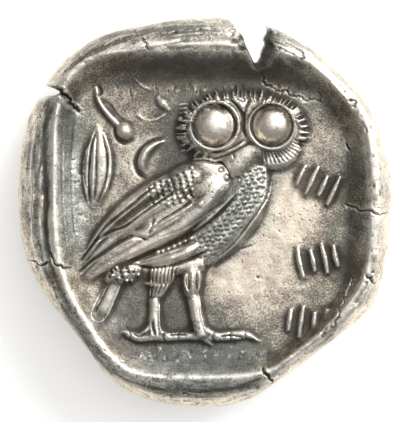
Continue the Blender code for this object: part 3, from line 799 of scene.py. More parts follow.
def fineLegs():
    for k in range(7):
        gx = 153 + 3.7 * k
        strokes([
            ([onDrawing(gx, 267), onDrawing(gx - 1, 274), onDrawing(gx - 1.5, 282)], 0.9, 0.12),
            ([onDrawing(gx + 1.8, 267), onDrawing(gx + 0.8, 274), onDrawing(gx + 0.3, 282)], 0.9, -0.12),
        ])
    for k in range(5):
        gx = 152 + 4.2 * k
        draw([onDrawing(gx, 284), onDrawing(gx - 1 - k * 0.6, 291), onDrawing(gx - 1 - k * 2.0, 297)],
             0.9 * grid, 0.12)
    for path in ([(-1.24, -3.83), (-1.31, -4.53), (-1.05, -5.17)],
                 [(-0.8, -3.83), (-0.8, -4.59), (-0.8, -5.23)],
                 [(-0.35, -3.7), (-0.32, -4.59), (-0.54, -5.23)]):
        draw(path, 1.1 * grid, 0.14)
    strokes([
        ([(-1.02, -3.83), (-1.02, -4.97)], 0.9, -0.14),
        ([(-0.54, -3.83), (-0.54, -4.97)], 0.9, -0.14),
        ([(-1.24, -5.36), (-0.8, -5.55), (-0.29, -5.29)], 0.9, -0.06),
        # right edges of the shins
        ([(-2.87, -5.74), (-2.87, -6.63), (-2.77, -7.65)], 0.9, 0.12),
        ([(-0.35, -5.61), (-0.22, -6.63), (0.1, -7.65)], 0.9, 0.12),
        ([(-3.35, -6.89), (-3.28, -7.4), (-3.16, -7.84)], 1.3, -0.16),
    ])
    for gx, gy in ((193, 322), (196, 326), (194, 329), (199, 328)):
        dot(*onDrawing(gx, gy), 0.9 * grid, -0.1)
    strokes([
        ([(0.99, -7.91), (1.69, -7.84), (2.39, -7.97)], 1.0, -0.2),
        ([(-2.26, -7.84), (-1.75, -7.78), (-1.18, -7.81)], 0.9, -0.18),
        ([(-4.56, -7.72), (-4.18, -7.91), (-3.79, -7.72)], 1.0, -0.12),
    ])
    # toe joints
    for path in ([(-2.52, -7.59), (-2.65, -7.91), (-2.52, -8.23)],
                 [(-1.63, -7.59), (-1.75, -7.91), (-1.63, -8.23)],
                 [(0.61, -7.59), (0.48, -7.91), (0.61, -8.23)],
                 [(1.69, -7.53), (1.56, -7.84), (1.69, -8.16)],
                 [(2.58, -7.53), (2.52, -7.84), (2.65, -8.1)],
                 [(-4.82, -7.53), (-4.75, -7.84), (-4.82, -8.1)]):
        draw(path, 0.8 * grid, -0.13)
    # beads where the tail starts
    for gx, gy in ((113, 275), (120, 278), (124, 270), (132, 270), (137, 270), (130, 266), (133, 281),
                   (126, 275), (140, 275), (118, 268), (128, 281), (115, 270)):
        dot(*onDrawing(gx, gy), 1.7 * grid, 0.22)
        dot(*(onDrawing(gx, gy) - Vector((0.17, 0.1))), 1.2 * grid, -0.14)
    strokes([
        ([(-6.09, -4.53), (-6.54, -5.49), (-6.98, -6.38)], 0.8, -0.14),
        ([(-5.26, -4.46), (-5.71, -5.49), (-6.15, -6.51), (-6.6, -6.95), (-7.05, -6.82), (-7.18, -6.38),
         (-6.86, -5.55), (-6.28, -4.53)], 0.8, 0.08),
    ])


def fineSprig():
    strokes([
        ([(-6.92, 5.1), (-7.24, 3.95), (-7.37, 2.17), (-7.3, 0.57)], 1.0, -0.22),
        ([(-7.05, 4.85), (-7.05, 3.44), (-7.11, 1.91), (-7.18, 0.7)], 0.8, 0.08),
        ([(-6.86, 4.97), (-6.89, 3.57), (-6.92, 2.04), (-7.05, 0.77)], 0.9, -0.14),
        ([(-6.54, 4.97), (-6.22, 3.64), (-6.28, 2.17), (-6.86, 0.51)], 0.9, -0.2),
        ([(-6.35, 4.97), (-5.96, 3.51), (-6.06, 2.04), (-6.79, 0.38)], 0.9, 0.1),
        ([(-7.43, 4.34), (-7.69, 3.32), (-7.72, 2.04), (-7.43, 0.57)], 0.9, 0.09),
        ([(-2.65, 4.72), (-3.48, 4.46), (-4.11, 3.95), (-4.43, 3.25), (-4.24, 2.49),
         (-3.79, 2.17)], 2.0, -0.14),
        ([(-5.71, 5.42), (-5.64, 4.85), (-5.2, 4.4), (-4.5, 4.66)], 1.6, -0.14),
        ([(-4.37, 6.31), (-3.92, 5.93), (-3.22, 5.87), (-2.39, 6.31)], 0.9, 0.06),
        ([(-4.43, 8.48), (-3.99, 8.04), (-3.41, 7.78)], 0.8, 0.06),
        ([(-6.67, 7.21), (-6.09, 6.89), (-5.64, 6.31), (-5.13, 5.8)], 1.2, -0.08),
    ])


def crack(path, halfWidth, depth):
    # a torn line: wanders a little, with a thin lip along one side
    torn = [Vector(p) for p in smoothPath(path, 4)]
    for i in range(1, len(torn) - 1):
        torn[i] = torn[i] + Vector((random.uniform(-1, 1), random.uniform(-1, 1))) * 0.09
    draw(torn, halfWidth * grid, -depth)
    draw([p + Vector((0.1, 0.12)) for p in torn], halfWidth * 0.9 * grid, depth * 0.18)


def cracks():
    for path, width, depth in (
        ([(3.67, 8.61), (3.86, 8.23), (4.24, 7.97)], 0.6, 0.15),
        ([(4.18, 8.04), (4.69, 7.72), (5.07, 7.72), (5.58, 7.4), (6.03, 7.4), (6.47, 7.14), (6.86, 7.21),
         (7.49, 6.95)], 0.5, 0.12),
        ([(7.18, 7.08), (7.37, 7.33), (7.3, 7.59)], 0.5, 0.08),
        ([(-9.47, 7.78), (-9.15, 7.72), (-8.96, 7.4), (-8.64, 7.27), (-8.51, 6.89), (-8.2, 6.7),
         (-8.07, 6.38)], 1.2, 0.5),
        ([(-11.58, -3.19), (-10.94, -3.13), (-10.43, -3.32), (-9.92, -3.19)], 0.8, 0.3),
        ([(-9.79, -2.55), (-9.47, -3.19), (-9.02, -3.44), (-8.45, -3.64)], 0.8, 0.25),
        ([(8.96, 0.57), (9.6, 0.19), (10.36, 0.13), (11.0, -0.13), (11.64, 0.06)], 0.6, 0.28),
        ([(3.6, -9.82), (3.86, -10.14), (4.05, -10.46), (4.31, -10.84)], 1.1, 0.35),
        ([(9.47, -4.15), (9.22, -4.72), (8.83, -5.49), (8.45, -6.38), (8.13, -7.27)], 0.8, 0.2),
        ([(9.15, 6.95), (9.54, 7.02), (9.34, 6.63)], 0.8, 0.2),
        ([(9.02, 4.4), (9.22, 3.95)], 1.1, 0.2),
        ([(10.17, -3.95), (10.49, -4.27), (10.75, -4.53)], 1.2, 0.25),
        ([(-3.99, 11.03), (-3.79, 10.72), (-3.6, 10.27)], 0.9, 0.14),
        ([(6.03, 10.2), (6.22, 9.82), (6.03, 9.57)], 0.9, 0.12),
    ):
        crack(path, width, depth)
    strokes([
        ([(-9.28, 7.33), (-8.96, 6.95), (-8.51, 6.44)], 2.2, 0.14),
        ([(-6.79, 8.04), (-6.54, 7.65), (-6.86, 7.33)], 1.0, -0.14),
    ])


rimFold = {"along": 3.4, "across": 2.3, "height": 0.075, "start": 0.1, "build": 0.5, "lowest": 2.4}


def squeezedRim():
    # uneven folds that run round the rim outside its crest
    steps = np.arange(721)
    crest = np.array([crestRadius(k * math.tau / 720) for k in steps])
    r = np.hypot(co[:, 0], co[:, 1])
    turn = np.arctan2(co[:, 1], co[:, 0]) % math.tau
    past = r - np.interp(turn / math.tau * 720, steps, crest) + rimFold["start"]
    for i in np.nonzero((past > 0) & (co[:, 2] > rimFold["lowest"]))[0]:
        place = Vector((math.cos(turn[i]) * rimFold["along"], math.sin(turn[i]) * rimFold["along"],
                        r[i] * rimFold["across"]))
        fold = noise.fractal(place, 0.9, 2.1, 3)
        co[i] += normals[i] * fold * rimFold["height"] * min(past[i] / rimFold["build"], 1)


def rimFolds():
    # lips and creases that run along the rim where the metal was squeezed up
    strokes([
        ([(-8.9, 8.16), (-8.26, 9.06), (-7.24, 9.69), (-5.96, 10.05), (-4.43, 10.24)], 1.6, 0.1),
        ([(-8.9, 8.61), (-7.88, 9.69), (-6.35, 10.46), (-4.43, 10.91), (-2.26, 11.16)], 3.6, -0.17),
        ([(-4.82, 10.4), (-2.58, 10.65), (-0.35, 10.59), (2.07, 10.52)], 3.4, 0.08),
        ([(-6.22, 11.35), (-4.5, 11.74), (-2.58, 11.93), (-0.35, 11.93), (1.31, 11.74)], 2.2, 0.06),
        ([(4.75, 9.69), (6.03, 8.93), (7.3, 7.91), (8.45, 6.63)], 3.0, 0.07),
        ([(5.01, 10.72), (6.41, 9.95), (7.81, 8.8), (9.09, 7.27), (9.85, 5.74)], 3.2, -0.08),
        ([(-9.28, 6.89), (-9.47, 5.23), (-9.54, 2.68), (-9.54, 0.13), (-9.41, -2.3)], 2.6, 0.07),
        ([(-9.85, 6.89), (-10.11, 5.23), (-10.17, 3.0), (-10.05, 0.77), (-10.11, -0.83), (-9.92, -2.55),
         (-9.28, -4.66)], 4.0, -0.22),
        ([(-10.68, 6.63), (-10.81, 4.91), (-11.0, 3.32), (-10.87, 1.4), (-11.0, -0.19), (-10.68, -2.42),
         (-9.92, -4.85)], 2.6, 0.12),
        ([(-11.0, 5.36), (-11.13, 3.95), (-11.26, 2.3)], 1.6, -0.1),
        ([(-6.22, -9.82), (-4.82, -10.72), (-2.9, -11.23), (-0.67, -11.42), (1.69, -11.23),
         (3.22, -10.72)], 3.6, -0.18),
        ([(-5.45, -10.97), (-3.54, -11.74), (-0.99, -11.99), (1.95, -11.8)], 2.6, 0.08),
        ([(10.24, 0.77), (10.11, 3.32), (9.6, 5.36)], 2.6, 0.06),
        ([(10.62, -2.42), (10.36, -4.34), (9.34, -5.87)], 2.6, -0.08),
    ])
    for k in range(90):   # knocks and small dents
        a = random.uniform(0, math.tau)
        r = random.uniform(10.0, 12.4)
        size = random.uniform(2.0, 7.0)
        dot(r * math.cos(a), r * math.sin(a), size * grid,
            random.choice((-1, -1, 1)) * random.uniform(0.02, 0.07))
    for k in range(240):   # fine nicks and short creases on the outer slope
        a = random.uniform(0, math.tau)
        r = outlineRadius(a) - random.uniform(0.1, 1.3)
        dot(r * math.cos(a), r * math.sin(a), random.uniform(0.8, 1.7) * grid, -random.uniform(0.02, 0.08))
        if k % 7 == 0:
            turn = random.uniform(0.01, 0.05)
            draw([(r * math.cos(a + t), (r + wobble) * math.sin(a + t))
                  for t, wobble in ((0, 0), (turn, random.uniform(-0.1, 0.1)), (turn * 2, 0))],
                 random.uniform(0.7, 1.2) * grid, -random.uniform(0.03, 0.07))
    for k in range(40):   # torn face of the big split
        x, y = onDrawing(random.uniform(231, 250), random.uniform(24, 58))
        dot(x, y, random.uniform(1.4, 3.0) * grid, -random.uniform(0.02, 0.05))


def scatterStrokes(count, gx, gy, dx, dy, width, depth):
    # short strokes at random over a patch: ranges of place, run, half width and depth
    for k in range(count):
        x, y = onDrawing(random.uniform(*gx), random.uniform(*gy))
        draw([(x, y), (x + random.uniform(*dx), y + random.uniform(*dy))],
             random.uniform(*width) * grid, random.uniform(*depth))


def scratches():
    draw([(2.2, -2.36), (3.03, -2.1)], 0.8 * grid, -0.12)
    for k in range(9):   # scars under the feet
        x, y = onDrawing(random.uniform(130, 215), random.uniform(350, 361))
        draw([(x, y), (x + random.uniform(-0.2, 0.4), y + random.uniform(-0.3, 0.3))], 0.9 * grid, 0.05)
    strokes([
        # folds down the left wall
        ([(-8.9, 6.25), (-9.02, 3.95), (-9.02, 0.77), (-8.77, -2.42)], 0.9, -0.06),
        ([(-8.32, 5.87), (-8.51, 3.32), (-8.45, 0.45), (-8.2, -2.3)], 0.8, -0.05),
    ])
    # scraped left wall
    scatterStrokes(46, (60, 80), (112, 262), (0.2, 0.6), (-0.12, 0.12), (0.6, 1.0), (-0.05, 0.02))
    dot(3.35, -4.15, 1.1 * grid, -0.18)
    dot(4.69, -1.21, 0.9 * grid, -0.12)
    for k in range(150):   # small pits all over the field
        dot(random.uniform(-9, 9), random.uniform(-9, 8), random.uniform(0.5, 0.9) * grid,
            -random.uniform(0.02, 0.07))
    # rough ground under the feet, then flow lines above the head
    scatterStrokes(60, (108, 262), (344, 361), (-0.3, 0.3), (-0.4, 0.4), (0.7, 1.4), (-0.05, 0.035))
    scatterStrokes(80, (110, 300), (80, 93), (-0.15, 0.15), (-0.2, -0.5), (0.6, 1.0), (-0.06, 0.03))


def fineUnder():
    unit = obverse["height"] / 100

    def cut(path, halfWidth, depth):
        draw([(-x * unit, y * unit) for x, y in path], halfWidth, depth, side=-1)

    cut([(30.4, -8.6), (27.5, -8.7), (24.4, -8.6)], 0.07, -0.12)
    cut([(15.4, 5.8), (18, 8.2), (22, 8.4), (25, 6.0)], 0.06, -0.08)
    cut([(26, 19), (15.5, 16), (3, 7), (-6, -7)], 0.08, -0.12)
    cut([(24, 35), (10, 39), (-10, 39.5), (-27, 30), (-37, 12), (-38.5, -8)], 0.1, -0.14)
    for k in range(46):   # hairs of the crest
        a = math.radians(66 + k * 2.95)
        out = Vector((math.cos(a), math.sin(a)))
        cut([(-4 + 37.5 * out.x, 7.5 + 33 * out.y), (-4 + 41 * out.x, 7.5 + 39.5 * out.y)], 0.06, -0.07)
    for k in range(2):   # folds of the neck
        cut([(11.5 - k, -30 - 6 * k), (7, -32.4 - 6 * k), (1, -33 - 6 * k)], 0.07, -0.035)
    for k in range(90):   # knocks and pits
        r = 12 * math.sqrt(random.random())
        a = random.uniform(0, math.tau)
        dot(r * math.cos(a), r * math.sin(a), random.uniform(0.05, 0.3), -random.uniform(0.02, 0.07), side=-1)


fineHead()
fineUnder()
fineNeck()
fineWing()
fineBreast()
fineLegs()
fineSprig()
squeezedRim()
rimFolds()
cracks()
scratches()
body.data.vertices.foreach_set("co", co.ravel())
body.data.update()
print("fine work cut")


# worn and grainy surface
surface = {"wave": (2.4, 0.1), "lump": (0.62, 0.045), "grain": (0.2, 0.022)}   # size and strength in mm
for name, (size, strength) in surface.items():
    tex = bpy.data.textures.new(name, "CLOUDS")
    tex.noise_scale = size
    tex.noise_depth = 2
    mod = body.modifiers.new(name, "DISPLACE")
    mod.texture = tex
    mod.texture_coords = "LOCAL"
    mod.strength = strength
    mod.mid_level = 0.5
mod = body.modifiers.new("settle", "SMOOTH")
mod.factor = 0.35
mod.iterations = 1
applyAll(body)
print("surface roughened")


# attribute: rounds of relaxing, and the movement in mm that counts as full
wear = {"fineHollow": (8, 0.02), "hollow": (60, 0.09), "deepHollow": (400, 0.35)}


def wearMaps(obj):
    # hollows and proud edges, from how far the skin moves when it is relaxed
    points = readPoints(obj.data)
    outward = readNormals(obj.data)
    maps = []
    for rounds, reach in wear.values():
        activate(obj)
        bpy.ops.object.duplicate()
        soft = bpy.context.object
        mod = soft.modifiers.new("relax", "SMOOTH")
        mod.factor = 0.9
        mod.iterations = rounds
        applyAll(soft)
        maps.append(((readPoints(soft.data) - points) * outward).sum(1))
        data = soft.data
        bpy.data.objects.remove(soft)
        bpy.data.meshes.remove(data)
    return points, maps


densePoints, denseMaps = wearMaps(body)
print("hollows measured", [round(float(np.abs(m).mean()), 4) for m in denseMaps])

# thin the skin out where it is plain
count = sum(len(p.vertices) - 2 for p in body.data.polygons)
mod = body.modifiers.new("thin", "DECIMATE")
mod.ratio = skin["finalTriangles"] / count
applyAll(body)
print("thinned from", count, "triangles")

tree = kdtree.KDTree(len(densePoints))
for i, p in enumerate(densePoints):
    tree.insert(p, i)
tree.balance()
nearest = np.array([tree.find(v.co)[1] for v in body.data.vertices])
for (name, (rounds, reach)), values in zip(wear.items(), denseMaps):
    layer = body.data.attributes.new(name, "FLOAT", "POINT")
    layer.data.foreach_set("value", np.clip(values[nearest] / reach * 0.5 + 0.5, 0, 1))


# where the metal has toned dark and where handling keeps it pale, mixed with painted shade on walls and
# slopes that face away from the key light, painted highlights on crests that face it, a painted shadow beside
# the head and a painted reflection of the pale floor on the steep sides
patinaAndPaintedLight = {
    "base": 0.48,
    "most": 1.3,
    # how much the painted reflection of the pale floor lightens the steep sides
    "sideFloorReflection": 0.4,
    "tornFace": 1.2,
    "topFrom": 2.6,    # spots and bands stay above this height
    "sideFrom": 1.4,
    "sideTo": 4.6,
    "rimFrom": 10.4,
}
# spots of real toning and handling wear mixed with painted light: painted shade on walls that face away from
# the key light, a painted shadow beside the head, painted highlights on the top and right rim and a painted
# floor reflection on the bottom edge
toneAndPaintedLightSpots = [   # x, y, radius in mm, amount
    (3.35, -2.42, 3.4, -0.32), (2.2, -5.1, 2.4, -0.24), (5.39, -0.64, 1.8, -0.3),
    # on this line the spot at (-0.16, 2.17) is painted shade that damps the key light's highlight on the
    # shoulder
    (1.69, 2.68, 1.2, -0.25), (-0.16, 2.17, 1.0, 0.22), (0.29, 1.4, 1.3, -0.2),
    (5.26, 2.04, 1.4, -0.35), (-5.45, 3.0, 1.6, 0.12), (-3.54, 7.14, 2.2, -0.1),
    (-4.5, -2.74, 2.0, -0.2), (-2.9, -2.93, 1.0, -0.25), (-6.73, 3.32, 1.2, -0.12),
    # the last spot on this line and the first on the next are a painted shadow on the field left of the head
    (-3.22, -6.57, 0.8, -0.4), (-0.54, -6.57, 0.8, -0.45), (-1.95, 5.55, 1.5, 0.5),
    (-1.75, 3.64, 1.3, 0.6), (-2.39, 2.04, 1.2, 0.35), (-4.69, -6.12, 2.0, 0.45),
    (-1.95, -6.38, 1.1, 0.5), (-5.13, -3.83, 1.3, 0.5), (-0.99, -8.93, 3.4, 0.5),
    (2.84, -8.93, 2.6, 0.45), (-5.45, -8.48, 1.8, 0.3), (0.41, -6.25, 0.9, 0.35), (6.03, 7.4, 1.8, 0.2),
    # this line: painted shade on the top inner wall, which faces away from the key light
    (-4.18, 8.93, 2.6, 0.5), (-0.99, 9.06, 2.4, 0.55), (2.2, 8.99, 2.4, 0.55), (6.03, 8.67, 2.2, 0.5),
    # this line: painted shade on the right inner wall, which faces away from the key light
    (8.58, 5.87, 1.4, 0.35), (9.34, 2.68, 1.5, 0.6), (9.47, -0.51, 1.5, 0.6), (9.34, -3.7, 1.5, 0.55),
    (7.43, -3.19, 2.0, 0.35), (6.35, -6.89, 1.6, 0.35), (7.94, 1.4, 1.6, 0.25),
    (7.94, -7.53, 1.4, 0.35), (-7.05, -1.15, 1.6, 0.25), (-8.0, -2.74, 1.2, 0.25),
    (-7.75, 3.95, 0.8, 0.3), (-8.39, 5.87, 1.2, 0.35), (3.92, 10.65, 1.0, 0.9), (3.73, 9.31, 1.0, 0.7),
    (2.26, 10.84, 0.8, 0.5), (-9.02, 7.46, 0.8, 0.6), (-6.09, 10.97, 1.6, 0.3),
    (-1.63, 11.61, 1.8, 0.3), (-8.51, 2.04, 1.3, 0.22), (-8.51, 4.59, 1.2, 0.25),
    # the first two spots on this line are painted shade on the left outer slope, which faces away from the
    # key light
    (-11.19, 1.91, 0.9, 0.25), (-10.68, -3.7, 0.9, 0.2), (-8.51, -0.83, 1.2, 0.15),
    # the last spot on this line and the first two on the next are a painted highlight on the top crest; the
    # last on the next line is a painted highlight on the upper right rim
    (0.54, 5.49, 1.1, -0.42), (4.24, 5.49, 1.1, -0.5), (-0.35, 10.52, 1.0, -0.55),
    (-2.9, 10.4, 0.9, -0.45), (1.44, 10.46, 0.8, -0.45), (7.3, 8.93, 2.0, -0.45),
    # this line: painted highlight on the right rim's outer slope, which faces the key light
    (10.62, 3.95, 2.0, -0.45), (10.87, -1.15, 2.0, -0.4), (9.98, -6.89, 1.6, -0.25),
    (1.95, 0.0, 1.6, 0.8), (0.67, -1.66, 1.4, 0.6), (2.97, 1.72, 1.2, 0.6), (-1.88, 1.79, 1.4, 0.35),
    # the last spot on this line and the first on the next are a painted reflection of the pale floor on the
    # bottom edge; the two after them are painted shade on the left outer slope
    (4.88, 3.25, 0.8, 0.5), (3.6, 3.32, 0.6, 0.2), (2.39, 7.27, 1.4, 0.2), (-6.09, -11.67, 1.6, -0.25),
    (6.03, -11.03, 1.6, -0.25), (-11.19, 3.95, 0.7, 0.45), (-11.19, -0.19, 0.7, 0.45),
    (-7.49, 3.0, 0.45, 0.45), (-7.49, 1.4, 0.45, 0.45), (-9.47, 2.04, 0.8, 0.25),
    # the last spot on this line and both on the next are a painted reflection of the pale floor on the bottom
    # edge
    (-9.02, 6.95, 0.35, -0.5), (-8.0, -6.25, 1.2, 0.25), (-3.54, -11.86, 0.9, -0.25),
    (1.24, -11.74, 0.9, -0.25), (-0.35, -11.99, 1.2, -0.2),
]
# bands of real toning mixed with painted light: painted shade along the left crest, outside the bottom crest
# and on the top and right inner walls, and painted light on the bottom inner wall
toneAndPaintedLightBands = [   # drawn line, half width, amount
    # painted shade along the left crest and its outer slope, which face away from the key light
    ([(-9.54, 7.14), (-10.05, 5.36), (-10.17, 3.0), (-10.17, 0.13), (-10.11, -2.1), (-9.66, -4.02),
      (-8.71, -6.0)], 0.32, 0.52),
    # painted shade outside the bottom crest, where the slope faces away from the key light; it runs dark
    # enough to take the dirt colour as well
    ([(-8.71, -6.0), (-7.62, -7.72), (-6.35, -9.38), (-4.69, -10.46), (-2.58, -10.91), (-0.35, -11.1),
      (2.2, -10.91), (3.48, -10.59)], 0.38, 1.05),
    ([(-1.18, 3.83), (-1.63, 5.23), (-1.05, 6.7), (0.54, 7.46), (2.39, 7.65), (4.24, 7.46), (5.71, 6.7),
      (6.22, 5.36), (5.9, 3.95)], 0.36, 0.38),
    # painted shade on the top inner wall
    ([(-8.51, 7.4), (-7.24, 8.55), (-5.45, 9.06), (-2.9, 9.18), (-0.35, 9.18), (2.58, 9.06)], 0.5, 0.08),
    ([(-8.13, 9.57), (-6.47, 10.72), (-4.18, 11.35), (-1.63, 11.48), (0.61, 11.35)], 0.3, 0.3),
    # painted shade on the right inner wall
    ([(5.77, 8.42), (7.69, 6.89), (8.83, 5.1), (9.34, 2.68), (9.41, -1.15), (9.22, -4.02),
      (8.32, -5.93)], 0.45, 0.05),
    # painted light on the bottom inner wall, which faces the key light
    ([(-6.98, -8.16), (-5.84, -9.18), (-4.18, -9.82), (-0.99, -10.01), (2.2, -9.89),
      (3.6, -9.5)], 0.42, -0.48),
    # wing: dark upper feathers, pale long lower one
    ([(-1.88, 1.53), (-3.41, 0.64), (-4.82, -0.32), (-6.35, -1.66), (-7.24, -2.93)], 0.42, 0.3),
    ([(0.03, 0.38), (-1.5, -0.83), (-3.41, -1.91), (-5.45, -2.87), (-7.24, -4.08)], 0.28, -0.34),
]
coolSpots = [   # grey-blue toning: x, y, radius in mm, amount
    (-8.64, 5.55, 1.5, 0.8), (-8.64, 3.0, 1.5, 0.9), (-8.64, 0.45, 1.5, 0.9), (-8.39, -1.79, 1.4, 0.8),
    (1.95, 0.0, 2.0, 0.8), (0.67, -1.66, 1.6, 0.7), (2.97, 1.72, 1.5, 0.7), (-0.99, -10.01, 1.8, 0.7),
    (-3.86, -9.82, 1.5, 0.7), (1.88, -9.82, 1.5, 0.7), (-1.75, 3.95, 1.4, 0.7), (-2.9, -1.02, 1.6, 0.4),
    (-0.99, -8.8, 2.4, 0.7), (-4.82, -5.61, 1.8, 0.6), (2.2, -8.8, 2.0, 0.6), (9.54, -1.15, 1.6, 0.6),
    (9.47, 3.32, 1.6, 0.6), (4.88, 3.32, 1.2, 0.7), (7.3, 8.16, 1.6, 0.4), (-6.79, 2.68, 1.2, 0.5),
]
ground = readPoints(body.data)
onTop = ground[:, 2] > patinaAndPaintedLight["topFrom"]


def nearSpot(x, y, radius):
    return np.exp(-((ground[:, 0] - x) ** 2 + (ground[:, 1] - y) ** 2) / radius ** 2)


cool = np.zeros(len(ground))
for x, y, radius, amount in coolSpots:
    cool += amount * nearSpot(x, y, radius)
layer = body.data.attributes.new("coolTintAndSideReflection", "FLOAT", "POINT")
# side marks the steep outer sides of the rim, which get a painted reflection of the pale floor, reaching
# higher towards the bottom of the coin; the attribute stores it below zero, under the grey-blue tint
reach = patinaAndPaintedLight["sideTo"] + 0.8 * np.clip((-ground[:, 1] - 1) / 3, 0, 1)
side = np.clip((reach - ground[:, 2]) / 1.0, 0, 1) * np.clip((ground[:, 2] - patinaAndPaintedLight["sideFrom"]) / 0.6, 0, 1)
side *= np.hypot(ground[:, 0], ground[:, 1]) > patinaAndPaintedLight["rimFrom"]
layer.data.foreach_set("value", np.clip(cool, 0, 1) * onTop - side)   # below zero: warm

toningAndPaintedLight = np.full(len(ground), patinaAndPaintedLight["base"])
for line, width, amount in toneAndPaintedLightBands:
    line = [np.array(p) for p in smoothPath(line, 5)]
    away = np.full(len(ground), 99.0)
    for a, b in zip(line[:-1], line[1:]):
        t = np.clip((ground[:, :2] - a) @ (b - a) / ((b - a) @ (b - a)), 0, 1)
        away = np.minimum(away, np.linalg.norm(ground[:, :2] - a - t[:, None] * (b - a), axis=1))
    toningAndPaintedLight += np.where(onTop, amount, 0.0) * np.exp(-(away / width) ** 4)
for x, y, radius, amount in toneAndPaintedLightSpots:
    toningAndPaintedLight += np.where(onTop, amount, 0.0) * nearSpot(x, y, radius)
# the steep sides are lightened as a painted reflection of the pale floor
toningAndPaintedLight = np.clip(toningAndPaintedLight - patinaAndPaintedLight["sideFloorReflection"] * side, 0, patinaAndPaintedLight["most"])
# torn faces of the splits
for x, y, radius in ((2.39, 11.1, 0.26), (2.71, 10.46, 0.24), (4.05, 11.23, 0.46), (3.92, 10.33, 0.48),
                     (3.54, 9.38, 0.36), (-9.54, 7.72, 0.26), (-8.9, 7.33, 0.22)):
    toningAndPaintedLight += patinaAndPaintedLight["tornFace"] * nearSpot(x, y, radius) * (ground[:, 2] > 1.5)
layer = body.data.attributes.new("toningAndPaintedLight", "FLOAT", "POINT")
layer.data.foreach_set("value", toningAndPaintedLight)


def fitToCad(obj, gap=0.004):
    # inside the solid's box by a small gap in mm, and flat where it rests
    p = readPoints(obj.data)
    p[:, 2] = np.maximum(p[:, 2], 0.0)
    for axis in range(3):
        low = cadBox[0][axis] * 1000 + (0.0 if axis == 2 else gap)
        high = cadBox[1][axis] * 1000 - gap
        a, b = p[:, axis].min(), p[:, axis].max()
        if axis == 2 and b <= high:
            continue
        p[:, axis] = low + (p[:, axis] - a) * (high - low) / (b - a)
    obj.data.vertices.foreach_set("co", (p * 0.001).ravel())
    obj.data.update()


fitToCad(body)
activate(body)
bpy.ops.object.shade_smooth()
body.name = "struckCoin"
print("fitted,", len(body.data.polygons), "faces")


# materials

def newGroup(name, inputs, outputs):
    group = bpy.data.node_groups.new(name, "ShaderNodeTree")
    for title, kind, value in inputs:
        s = group.interface.new_socket(name=title, in_out="INPUT", socket_type=kind)
        s.default_value = value
    for title, kind in outputs:
        group.interface.new_socket(name=title, in_out="OUTPUT", socket_type=kind)
    return group, group.nodes.new("NodeGroupInput"), group.nodes.new("NodeGroupOutput")


def mapRange(tree, value, a, b, c=0.0, d=1.0):
    node = tree.nodes.new("ShaderNodeMapRange")
    tree.links.new(value, node.inputs["Value"])
    for key, v in (("From Min", a), ("From Max", b), ("To Min", c), ("To Max", d)):
        node.inputs[key].default_value = v
    return node.outputs["Result"]


def mathNode(tree, kind, a, b=None, clamp=False):
    node = tree.nodes.new("ShaderNodeMath")
    node.operation = kind
    node.use_clamp = clamp
    for i, v in enumerate((a, b)):
        if v is None:
            continue
        if isinstance(v, (int, float)):
            node.inputs[i].default_value = v
        else:
            tree.links.new(v, node.inputs[i])
    return node.outputs[0]


def mixColour(tree, factor, a, b):
    node = tree.nodes.new("ShaderNodeMix")
    node.data_type = "RGBA"
    for key, v in (("Factor", factor), ("A", a), ("B", b)):
        socket = [s for s in node.inputs if s.name == key and s.enabled][0]
        if isinstance(v, (int, float)):
            socket.default_value = v
        elif isinstance(v, tuple):
            socket.default_value = (*v, 1)
        else:
            tree.links.new(v, socket)
    return [s for s in node.outputs if s.enabled][0]


def noiseNode(tree, vector, scale, detail, rough=0.55):
    node = tree.nodes.new("ShaderNodeTexNoise")
    node.inputs["Scale"].default_value = scale
    node.inputs["Detail"].default_value = detail
    node.inputs["Roughness"].default_value = rough
    tree.links.new(vector, node.inputs["Vector"])
    return node.outputs["Fac"]


def makeGrainGroup():
    # crystalline, lightly pitted old metal
    group, gin, gout = newGroup(
        "oldMetalGrain",
        [("Coordinates", "NodeSocketVector", (0, 0, 0)), ("Scale", "NodeSocketFloat", 5000.0)],
        [("Height", "NodeSocketFloat"), ("Speckle", "NodeSocketFloat")])
    n, l = group.nodes, group.links
    fine = n.new("ShaderNodeTexNoise")
    fine.inputs["Detail"].default_value = 4
    fine.inputs["Roughness"].default_value = 0.65
    l.new(gin.outputs["Coordinates"], fine.inputs["Vector"])
    l.new(gin.outputs["Scale"], fine.inputs["Scale"])
    pits = n.new("ShaderNodeTexVoronoi")
    pits.feature = "F1"
    l.new(gin.outputs["Coordinates"], pits.inputs["Vector"])
    l.new(mathNode(group, "MULTIPLY", gin.outputs["Scale"], 0.55), pits.inputs["Scale"])
    pitMask = mapRange(group, pits.outputs["Distance"], 0.05, 0.28)
    coarse = noiseNode(group, gin.outputs["Coordinates"], 900.0, 2.0)
    gate = mapRange(group, coarse, 0.48, 0.62)
    pit = mathNode(group, "MULTIPLY", mathNode(group, "SUBTRACT", 1.0, pitMask), gate)
    height = mathNode(group, "SUBTRACT", fine.outputs["Fac"], mathNode(group, "MULTIPLY", pit, 0.8))
    l.new(height, gout.inputs["Height"])
    l.new(pit, gout.inputs["Speckle"])
    return group


